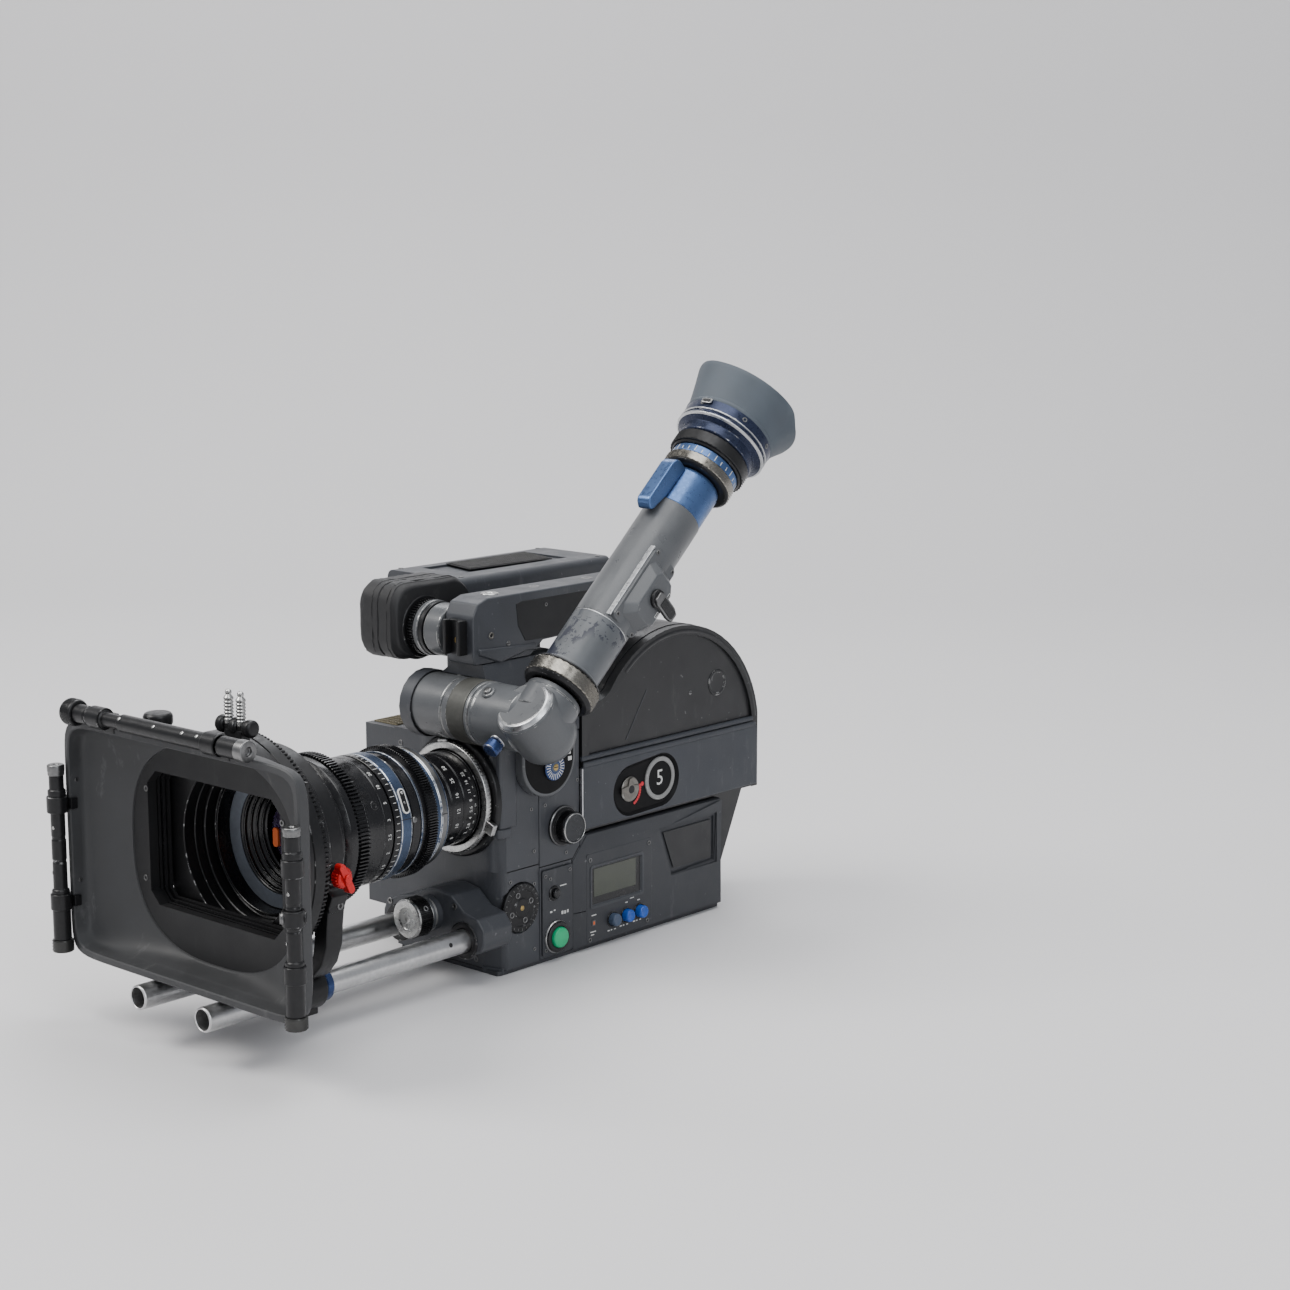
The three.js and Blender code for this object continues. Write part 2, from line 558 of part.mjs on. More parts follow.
function addVideoAssist(body) {
  const relay = alongX(turned([
    [10, -34], [12, -34], [12, -23.6], [17, -23.6], [17, HANDLE_RIGHT - GAP], [10, HANDLE_RIGHT - GAP],
    [10, -34],
  ], ROUND));
  place(body, "video_relay_barrel", relay, FINISH.blackMetal, [0, ASSIST_Y, ASSIST_Z]);
  place(body, "video_focus_ring", alongX(ring(12.4, 18.5, -34.4, -24, ROUND)), FINISH.blackMetal,
    [0, ASSIST_Y, ASSIST_Z]);
  const shape = roundedRect(-20, 46, 198, 247, 14);
  const elbow = cut(sidePrism(shape, -72, -34.8, 5), block(-64, -40, 20, 50, 206, 238));
  place(body, "video_elbow", elbow, FINISH.blackPlastic);
  const box = frontPrism(roundedRect(-115, -46, ASSIST_TOP - 44, ASSIST_TOP, 5), 46.3, 193, 3);
  const inside = block(-111, -50, 40, 188, ASSIST_TOP - 40, ASSIST_TOP - 5);
  const vent = block(-102, -64, 66, 168, ASSIST_TOP - 1.6, ASSIST_TOP + 1);
  place(body, "video_camera", cut(box, inside, vent), FINISH.bodyPaint);
}

// ---- Viewfinder -------------------------------------------------------------------------------
// Local frame: X is the swing axis, Z runs up the tube, Y points down and back.
function addFinder(body) {
  const finder = groupAt(body, 0, PIVOT_Y, PIVOT_Z);
  finder.rotation.x = ((FINDER_TILT - 90) * Math.PI) / 180;
  const sleeve = alongX(rod(FINDER_R, 30, FINDER_X, ROUND));
  const prismBody = rod(20, -19, 29, ROUND).rotateX(-Math.PI / 2).translate(FINDER_X, 0, 0);
  const neck = rod(19, 0, 22.5, ROUND).translate(FINDER_X, 0, 0);
  place(finder, "finder_elbow", join(sleeve, prismBody, neck), FINISH.lightPaint);

  const axis = groupAt(finder, FINDER_X, 0, 0);
  place(axis, "finder_coupling_ring", ring(15, 24, 23, 36, FINE), FINISH.blackMetal);
  const tube = turned([
    [14, 36.4], [19, 36.4], [19, 171.6], [14, 171.6], [14, 36.4],
  ], ROUND);
  place(axis, "finder_tube", tube, FINISH.lightPaint);
  const blue = join(ring(14, 18.6, 172, 199, ROUND), block(-6, 6, -25, -16, 174, 197));
  place(axis, "finder_sleeve", blue, FINISH.blueMetal);
  const eyepiece = turned([
    [14, 199.4], [17, 199.4], [17, 224], [22, 224.4], [22, 234], [32, 235], [32, 243], [26, 244],
    [26, 252], [18, 252], [14, 240], [14, 199.4],
  ], FINE);
  place(axis, "eyepiece_barrel", eyepiece, FINISH.blackMetal);
  place(axis, "diopter_ring", turned([
    [17.4, 200], [23.5, 200], [23.5, 214], [27, 215], [27, 223.6], [17.4, 223.6], [17.4, 200],
  ], FINE), FINISH.blueMetal);
  place(axis, "eyecup", eyecup(), FINISH.rubber);

  const housing = block(18.4, 25, -14, 16, 84, 132);
  const bridge = block(8, 20, -10, 12, 84, 132);
  const tubeRoom = rod(19.4, 70, 140, ROUND);
  place(axis, "finder_side_plate", cut(join(bridge, housing), tubeRoom), FINISH.lightPaint);
  const lever = join(alongX(rod(6, 25.4, 28, SMALL)), block(25.6, 28.5, -2.5, 18, -3, 3));
  place(axis, "finder_lever", lever, FINISH.blackMetal, [0, 4, 108]);
}

// Flared rubber cup, longer on the side away from the eye.
function eyecup() {
  const count = 20;
  const loop = (r, z, rise) => Array.from({ length: count }, (_, i) => {
    const angle = (2 * Math.PI * i) / count;
    const lift = rise * Math.max(0, -Math.sin(angle));
    return new THREE.Vector3(r * Math.cos(angle), r * Math.sin(angle), z + lift);
  });
  return loopBand([
    loop(26.4, 244.4, 0), loop(31, 244.4, 0), loop(33, 256, 2), loop(38, 266, 9), loop(35.5, 268, 9),
    loop(30, 258, 2), loop(26.4, 252, 0),
  ]);
}

// ---- Magazine ---------------------------------------------------------------------------------
// Outline in (y, z): throat at the front, shoulder, round end, slanted lower back.
function magazineShape(inset) {
  const r = MAG_R - inset;
  const front = BODY_DEPTH + 1 + inset;
  const low = MAG_BOTTOM + inset;
  const shoulder = 166 - inset;
  const shape = new THREE.Shape();
  shape.moveTo(front, low);
  shape.lineTo(232 - inset, low);
  shape.lineTo(MAG_Y + r, BAND_LOW);
  shape.lineTo(MAG_Y + r, MAG_Z);
  shape.absarc(MAG_Y, MAG_Z, r, 0, 0.78 * Math.PI, false);
  shape.quadraticCurveTo(102 - inset, shoulder + 3, 92 - inset, shoulder);
  shape.lineTo(front, shoulder);
  return shape;
}

// Side slab of the magazine between x0 and x1, only the part above the side wing.
function upperSlab(inset, x0, x1, low) {
  return cut(sidePrism(magazineShape(inset), x0, x1, ARC), block(x0 - 1, x1 + 1, 0, 300, 0, low));
}

function atHinge(geometry) {
  return geometry.translate(HINGE_X, HINGE_Y, 0);
}

function addMagazine(body) {
  const lowWall = BAND_LOW - 1.4;
  const outer = join(
    sidePrism(magazineShape(0), MAG_RIGHT, MAG_STEP_X, ARC), upperSlab(0, MAG_STEP_X - 1, DOOR_X, lowWall));
  const inner = join(
    sidePrism(magazineShape(4), MAG_RIGHT + 4, MAG_STEP_X - 3.4, ARC),
    upperSlab(4, MAG_STEP_X - 4, DOOR_X + 1, lowWall + 3));
  const filmPort = block(-10, 10, BODY_DEPTH, BODY_DEPTH + 7, AXIS_Z - 16, AXIS_Z + 16);
  const hingeRoom = atHinge(rod(4.2, 92, 126, ROUND));
  const pin = atHinge(rod(1.5, 90, 128, SMALL));
  const carryFlap = sidePrism(outline([[93, 165], [97, 165], [131, 195.5], [129, 200]]), -20, 12);
  const shell = join(cut(outer, inner, filmPort, hingeRoom), pin, carryFlap);
  place(body, "magazine_case", shell, FINISH.bodyPaint);

  const low = BAND_LOW - 1;
  const cover = upperSlab(0.5, DOOR_X + GAP, BODY_LEFT - 1, low);
  const rim = cut(
    upperSlab(0.5, BODY_LEFT - 2, BODY_LEFT + 1, low), upperSlab(7, BODY_LEFT - 3, BODY_LEFT + 2, low));
  const band = block(DOOR_X + GAP, BODY_LEFT + 2.2, BODY_DEPTH + 2, HINGE_Y - 6, BAND_LOW, BAND_HIGH);
  const rearTrim = block(DOOR_X - 1, BODY_LEFT + 5, HINGE_Y - 0.2, HINGE_Y + 9, 70, 146);
  const leverSeat = alongX(rod(15, 0, 5)).translate(BODY_LEFT + 0.6, 121, 102);
  const pinRoom = atHinge(rod(1.9, 80, 146, SMALL));
  const knuckle = atHinge(rod(3.6, 92.4, 125.6, SMALL));
  const door = cut(join(cut(join(cover, rim, band), rearTrim, leverSeat), knuckle), pinRoom);
  place(body, "magazine_door", door, FINISH.coverBlack);

  const lever = join(rod(11, 0, 2.4), block(-3, 3, -11, 11, 2, 6));
  place(body, "magazine_lock", alongX(lever), FINISH.steel, [BODY_LEFT + 0.9, 121, 102]);
  place(body, "feed_roll", alongX(ring(12, 70, -FILM_W / 2, FILM_W / 2)), FINISH.film,
    [10, MAG_Y, MAG_Z]);
  place(body, "takeup_roll", alongX(ring(12, 45, -FILM_W / 2, FILM_W / 2, ROUND)), FINISH.film,
    [-17, MAG_Y, MAG_Z]);
}

// ---- Assembly -----------------------------------------------------------------------------------
const camera = new THREE.Group();
camera.position.y = -SCREW_Y;

addBasePlate(camera);
addFrontHousing(camera);
addMainHousing(camera);
addTurret(camera);
addRearHousing(camera);
addSideHousing(camera);
addLensPort(camera);
addMovement(camera);
addControls(camera);
addDisplay(camera);
addFinderPlate(camera);
addRods(camera);
addLens(camera);
addHandle(camera);
addFinderBarrel(camera);
addVideoAssist(camera);
addFinder(camera);
addMagazine(camera);

const matteBox = groupAt(camera, 0, 0, 0);
addHood(matteBox);
addFilterStage(matteBox);
addMatteClamp(matteBox);
addFlagBars(matteBox);

export default camera;
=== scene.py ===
"""Sync-sound film camera rig: the detailed surfaces, materials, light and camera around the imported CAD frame.

Points are written in millimetres in the camera's own frame: x = 0 is the lens axis plane, +x the operator's
side, y = 0 the front face of the body, -y the way the lens looks, z = 0 the floor.
"""

import math

import bmesh
import bpy
from mathutils import Matrix, Vector, noise


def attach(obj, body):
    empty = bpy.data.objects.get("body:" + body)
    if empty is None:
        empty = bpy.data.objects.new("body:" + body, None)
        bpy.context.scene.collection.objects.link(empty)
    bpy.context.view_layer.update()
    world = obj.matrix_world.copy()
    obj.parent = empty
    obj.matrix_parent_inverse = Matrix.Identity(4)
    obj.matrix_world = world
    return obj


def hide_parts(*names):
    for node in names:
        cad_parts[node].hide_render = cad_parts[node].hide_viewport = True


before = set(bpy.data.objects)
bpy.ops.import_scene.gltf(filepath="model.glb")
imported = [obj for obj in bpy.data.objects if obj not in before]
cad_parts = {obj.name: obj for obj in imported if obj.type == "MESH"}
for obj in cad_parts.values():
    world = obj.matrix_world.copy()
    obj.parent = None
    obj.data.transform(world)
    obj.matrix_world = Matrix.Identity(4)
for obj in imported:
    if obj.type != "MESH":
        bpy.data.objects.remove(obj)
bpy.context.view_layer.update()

# ---- Frame ----------------------------------------------------------------------------------------
MM = 0.001
SCREW_Y = 62  # the frame's origin is this far behind the body's front face
TO_ROW = Matrix.Scale(MM, 4) @ Matrix.Translation((0, -SCREW_Y, 0))
FROM_ROW = TO_ROW.inverted()
FINE = 128
ROUND = 64

AXIS_Z = 114.3
ROD_X, ROD_Z = 30, 29.3
PIVOT = Vector((0, -1, 171))
FINDER_X = 71
FINDER_TILT = 42.5
MAG_Y, MAG_Z, MAG_R = 171, 120, 86

ALONG_X = Matrix.Rotation(math.pi / 2, 4, "Y") @ Matrix.Rotation(math.pi / 2, 4, "Z")
ALONG_LENS = Matrix.Rotation(math.pi / 2, 4, "X")


def at(x, y, z, turn=Matrix.Identity(4)):
    return Matrix.Translation((x, y, z)) @ turn


def on_side(x, y, z):
    """Local z points out of the operator's side."""
    return at(x, y, z, ALONG_X)


def on_lens(x=0, z=AXIS_Z):
    """Local z points out of the lens."""
    return at(x, 0, z, ALONG_LENS)


LENS = on_lens()
SIDE_FACE = on_side(0, 0, 0)  # local x is y, local y is z, local z is x
FINDER = at(*PIVOT) @ Matrix.Rotation(math.radians(FINDER_TILT - 90), 4, "X") @ at(FINDER_X, 0, 0)


# ---- Materials ------------------------------------------------------------------------------------
class Nodes:
    """A material's node tree with a Principled shader, built a few calls at a time."""

    def __init__(self, name, rough=0.5, metal=0.0, **sockets):
        self.material = bpy.data.materials.new(name)
        self.material.use_nodes = True
        self.tree = self.material.node_tree
        self.shader = self.tree.nodes["Principled BSDF"]
        self.place = self.tree.nodes.new("ShaderNodeTexCoord").outputs["Object"]
        self.set("Roughness", rough)
        self.set("Metallic", metal)
        for socket, value in sockets.items():
            self.set(socket.replace("_", " "), value)

    def set(self, socket, value):
        self.put(self.shader.inputs[socket], value)

    def put(self, socket, value):
        if isinstance(value, bpy.types.NodeSocket):
            self.tree.links.new(value, socket)
        elif hasattr(value, "__len__") and len(value) == 3 and len(socket.default_value) == 4:
            socket.default_value = (*value, 1)
        else:
            socket.default_value = value

    def node(self, kind, inputs=(), output=0, **settings):
        made = self.tree.nodes.new("ShaderNode" + kind)
        for key, value in settings.items():
            setattr(made, key, value)
        for key, value in dict(inputs).items():
            self.put(made.inputs[key], value)
        return made.outputs[output]

    def math(self, operation, a, b=0.0):
        return self.node("Math", {0: a, 1: b}, operation=operation)

    def stretched(self, x, y, z, turn=(0.0, 0.0, 0.0)):
        return self.node("Mapping", {"Vector": self.place, "Scale": (x, y, z), "Rotation": turn})

    def noise(self, size, detail=3, rough=0.55, place=None):
        """Noise with features about `size` millimetres across."""
        return self.node("TexNoise", {
            "Vector": place or self.place, "Scale": 1000 / size, "Detail": detail, "Roughness": rough})

    def ramp(self, value, low, high, to_low=0.0, to_high=1.0):
        return self.node("MapRange", {
            "Value": value, "From Min": low, "From Max": high, "To Min": to_low, "To Max": to_high})

    def mix(self, share, a, b):
        made = self.tree.nodes.new("ShaderNodeMix")
        made.data_type = "RGBA"
        for key, value in ((0, share), (6, a), (7, b)):
            self.put(made.inputs[key], value)
        return made.outputs[2]

    def blend(self, share, a, b):
        return self.node("Mix", {0: share, 2: a, 3: b})

    def attribute(self, name):
        return self.node("Attribute", output=2, attribute_name=name)

    def bump(self, height, strength, depth=0.1):
        """Bump of about `depth` millimetres."""
        return self.node("Bump", {"Height": height, "Strength": strength, "Distance": depth * MM})


def shade(color, factor):
    return tuple(c * factor for c in color)


def paint(name, color, rough=0.5, grain=0.9, bump=0.5, worn=0.5, bare=(0.42, 0.42, 0.41), dust=0.25,
        **sockets):
    """Textured lacquer: fine grain, uneven tone, light rubs and bare metal along the edges."""
    n = Nodes(name, **sockets)
    grain_height = n.noise(grain, 2, 0.6)
    mottle = n.noise(28, 4)
    tone = n.mix(n.ramp(mottle, 0.35, 0.68), shade(color, 0.86), shade(color, 1.14))
    speck = n.mix(n.ramp(grain_height, 0.4, 0.62), shade(color, 0.9), shade(color, 1.12))
    tone = n.mix(0.4, tone, speck)
    rubs = n.ramp(n.noise(9, 5, 0.7, n.stretched(1, 1, 0.25, (0.5, 0.3, 0.2))), 0.6, 0.78, 0, dust)
    tone = n.mix(rubs, tone, tuple(0.5 * c + 0.16 for c in color))
    scratch = n.noise(3.2, 1, 0.4, n.stretched(0.05, 1, 1, (0.7, 0.4, 0.9)))
    scratch = n.ramp(scratch, 0.76, 0.8, 0, 0.35)
    tone = n.mix(scratch, tone, tuple(0.6 * c + 0.2 for c in color))
    edge = n.attribute("wear")
    patches = n.ramp(n.noise(7, 5, 0.65), 0.62 - 0.3 * worn, 0.68 - 0.3 * worn)
    chip = n.math("MULTIPLY", edge, patches)
    n.set("Base Color", n.mix(chip, tone, bare))
    n.set("Metallic", n.math("MULTIPLY", chip, 0.85))
    uneven = n.ramp(n.noise(14, 4), 0.3, 0.7, rough - 0.07, rough + 0.09)
    n.set("Roughness", n.blend(chip, uneven, 0.34))
    n.set("Normal", n.bump(grain_height, bump, 0.12))
    return n.material


def metal(name, color, rough=0.3, brushed=0.25, worn=0.0, bare=(0.4, 0.4, 0.4), metallic=1.0, **sockets):
    """Turned or brushed metal, or an anodised finish with bright worn edges."""
    n = Nodes(name, **sockets)
    streak = n.noise(2.5, 2, 0.5)
    cloud = n.noise(16, 4)
    tone = n.mix(n.ramp(cloud, 0.35, 0.7), shade(color, 0.88), shade(color, 1.1))
    tone = n.mix(n.ramp(streak, 0.35, 0.65, 0, brushed), tone, shade(color, 0.7))
    chip = n.math("MULTIPLY", n.attribute("wear"),
            n.ramp(n.noise(5, 5, 0.7), 0.66 - 0.3 * worn, 0.76 - 0.3 * worn))
    chip = n.math("MULTIPLY", chip, 1.0 if worn else 0.0)
    n.set("Base Color", n.mix(chip, tone, bare))
    n.set("Metallic", n.blend(chip, metallic, 1.0))
    n.set("Roughness", n.ramp(streak, 0.3, 0.7, rough - 0.06, rough + 0.1))
    n.set("Normal", n.bump(streak, 0.12, 0.03))
    return n.material


def plastic(name, color, rough=0.45, grain=0.5, bump=0.15, marks=0.12, **sockets):
    """Moulded plastic or rubber with fine grain and faint handling marks."""
    n = Nodes(name, **sockets)
    fine = n.noise(grain, 2)
    cloud = n.noise(22, 4)
    tone = n.mix(n.ramp(cloud, 0.35, 0.7), shade(color, 0.88), shade(color, 1.12))
    smear = n.ramp(n.noise(11, 5, 0.7, n.stretched(1, 0.5, 0.3, (0.4, 0.8, 0.1))), 0.58, 0.8, 0, marks)
    n.set("Base Color", n.mix(smear, tone, tuple(0.6 * c + 0.14 for c in color)))
    n.set("Roughness", n.ramp(cloud, 0.3, 0.7, rough - 0.06, rough + 0.08))
    n.set("Normal", n.bump(fine, bump, 0.08))
    return n.material


def chipped(name, color, under, rough=0.34):
    """Satin lacquer flaking off a dark anodised tube in small chips and a few large ones."""
    n = Nodes(name)
    tone = n.mix(n.ramp(n.noise(24, 4), 0.35, 0.68), shade(color, 0.86), shade(color, 1.16))
    small = n.ramp(n.noise(2.4, 3, 0.6), 0.60, 0.62)
    large = n.ramp(n.noise(8, 4, 0.6, n.stretched(1, 0.6, 0.6, (0.3, 0.5, 0.0))), 0.545, 0.56)
    patch = n.ramp(n.noise(34, 2), 0.46, 0.54)
    chip = n.math("MULTIPLY", n.math("MAXIMUM", small, large), patch)
    n.set("Base Color", n.mix(chip, tone, under))
    n.set("Roughness", n.blend(chip, rough, 0.42))
    n.set("Normal", n.bump(n.math("SUBTRACT", 1.0, chip), 0.4, 0.15))
    return n.material


BODY_GREY = (0.040, 0.043, 0.050)
body_paint = paint("body_paint", BODY_GREY, rough=0.44, grain=0.8, bump=0.5, worn=0.6)
body_dark = paint("body_dark", (0.030, 0.032, 0.037), rough=0.5, grain=0.8, bump=0.55, worn=0.35)
finder_paint = paint("finder_paint", (0.078, 0.082, 0.087), rough=0.33, grain=0.7, bump=0.25, worn=0.4)
cover_black = paint("cover_black", (0.0085, 0.0088, 0.010), rough=0.38, grain=0.7, bump=0.45, worn=0.3,
        dust=0.12)
band_blue = paint("band_blue", (0.028, 0.032, 0.040), rough=0.44, grain=0.8, bump=0.5, worn=0.45)
hood_plastic = plastic("hood_plastic", (0.036, 0.037, 0.039), rough=0.58, grain=0.6, bump=0.2, marks=0.55)
black_matt = plastic("black_matt", (0.008, 0.008, 0.009), rough=0.6, grain=0.5, bump=0.2)
black_gloss = plastic("black_gloss", (0.006, 0.006, 0.007), rough=0.25, grain=0.6, bump=0.05)
black_metal = metal("black_metal", (0.012, 0.012, 0.013), rough=0.34, brushed=0.3, worn=0.25, metallic=0.4)
lens_black = metal("lens_black", (0.007, 0.007, 0.008), rough=0.2, brushed=0.1, worn=0.1, metallic=0.2)
blue_ring = metal("blue_ring", (0.05, 0.075, 0.13), rough=0.3, brushed=0.3, worn=0.9, bare=(0.6, 0.62, 0.64),
        metallic=0.7)
blue_deep = metal("blue_deep", (0.03, 0.055, 0.15), rough=0.28, brushed=0.2, worn=0.5, metallic=0.7)
steel = metal("steel", (0.5, 0.5, 0.49), rough=0.28, brushed=0.4)
steel_dark = metal("steel_dark", (0.2, 0.2, 0.2), rough=0.35, brushed=0.4)
rod_metal = metal("rod_metal", (0.62, 0.62, 0.62), rough=0.34, brushed=0.25)
blue_grey = metal("blue_grey", (0.11, 0.125, 0.15), rough=0.4, brushed=0.2, metallic=0.4)
blue_anodised = metal("blue_anodised", (0.085, 0.155, 0.33), rough=0.3, brushed=0.15, worn=0.15, metallic=0.8)
blue_black = metal("blue_black", (0.022, 0.03, 0.062), rough=0.28, brushed=0.1, worn=0.35, metallic=0.6)
rim_bright = metal("rim_bright", (0.62, 0.63, 0.64), rough=0.3, brushed=0.4)
knurl_worn = metal("knurl_worn", (0.27, 0.255, 0.225), rough=0.24, brushed=0.1, metallic=1.0)
plate_black = plastic("plate_black", (0.003, 0.003, 0.0035), rough=0.5, grain=0.6, bump=0.03, marks=0.03,
        Specular_IOR_Level=0.15)
knurl_black = metal("knurl_black", (0.022, 0.022, 0.023), rough=0.36, brushed=0.2, worn=0.0, metallic=0.5)
worn_band = metal("worn_band", (0.075, 0.075, 0.068), rough=0.5, brushed=0.3, worn=0.0, metallic=0.35)
finder_satin = paint("finder_satin", (0.085, 0.089, 0.094), rough=0.32, grain=0.8, bump=0.18, worn=0.5,
        dust=0.15)
blue_slate = plastic("blue_slate", (0.055, 0.08, 0.13), rough=0.4, grain=1, bump=0.05)
black_satin = metal("black_satin", (0.03, 0.032, 0.035), rough=0.3, brushed=0.1, worn=0.4, metallic=0.5)
grille_tan = paint("grille_tan", (0.20, 0.17, 0.10), rough=0.5, grain=1.2, bump=0.3, worn=0.6)
ring_grey = paint("ring_grey", (0.22, 0.22, 0.215), rough=0.45, grain=1, bump=0.2, worn=0.3)
red_mark = plastic("red_mark", (0.62, 0.02, 0.03), rough=0.45, grain=1.5, bump=0.05, marks=0.1)
steel_worn = metal("steel_worn", (0.22, 0.21, 0.19), rough=0.42, brushed=0.5, worn=0.6,
        bare=(0.55, 0.55, 0.53))
tape_black = plastic("tape_black", (0.011, 0.011, 0.012), rough=0.55, grain=3.5, bump=0.7, marks=0.25)
mesh_dark = metal("mesh_dark", (0.03, 0.029, 0.028), rough=0.5, brushed=0.4, metallic=0.5)
knurl_dark = metal("knurl_dark", (0.06, 0.06, 0.058), rough=0.35, brushed=0.2, metallic=0.8)
brass = metal("brass", (0.42, 0.30, 0.12), rough=0.3, brushed=0.2)
rubber = plastic("rubber", (0.06, 0.075, 0.092), rough=0.6, grain=0.5, bump=0.15, marks=0.15)
white_mark = plastic("white_mark", (0.62, 0.62, 0.6), rough=0.5, grain=1.5, bump=0.05, marks=0.3)
# Orange for the display's indicator and for the painted reflection on the front glass.
orange_mark_and_painted_reflection = plastic("orange_mark_and_painted_reflection", (0.75, 0.13, 0.02), rough=0.5, grain=1.5, bump=0.05, marks=0.05)
red_metal = metal("red_metal", (0.55, 0.012, 0.012), rough=0.3, brushed=0.1, metallic=0.35)
green_button = plastic("green_button", (0.004, 0.42, 0.17), rough=0.28, grain=2, bump=0.02, marks=0.05)
blue_button = plastic("blue_button", (0.012, 0.085, 0.42), rough=0.25, grain=2, bump=0.02, marks=0.05)
film_base = plastic("film_base", (0.06, 0.032, 0.024), rough=0.3, grain=2, bump=0.02, marks=0.1)


finder_chipped = chipped("finder_chipped", (0.082, 0.088, 0.095), (0.012, 0.015, 0.028))


def glass_material():
    """Coated front element: near black, with a painted purple and blue coating reflection that grows towards
    its rim with the facing angle.
    """
    n = Nodes("glass", rough=0.03, Coat_Weight=1.0, Coat_Roughness=0.02, Specular_IOR_Level=0.8)
    facing = n.node("LayerWeight", {"Blend": 0.35}, output=1)
    # Painted reflection: the coating's purple and blue sheen is put into the base colour by the facing angle.
    painted_coating_reflection = n.mix(n.ramp(facing, 0.1, 0.7), (0.012, 0.004, 0.016), (0.05, 0.03, 0.11))
    n.set("Base Color", n.mix(n.ramp(n.noise(18, 2), 0.35, 0.7), painted_coating_reflection, (0.03, 0.006, 0.02)))
    return n.material


def screen_material():
    """Unlit reflective display behind its window."""
    n = Nodes("screen", rough=0.25, Coat_Weight=0.6, Coat_Roughness=0.05)
    n.set("Base Color", n.mix(n.ramp(n.noise(9, 3), 0.3, 0.7), (0.014, 0.019, 0.009), (0.026, 0.034, 0.014)))
    return n.material


glass = glass_material()
screen = screen_material()


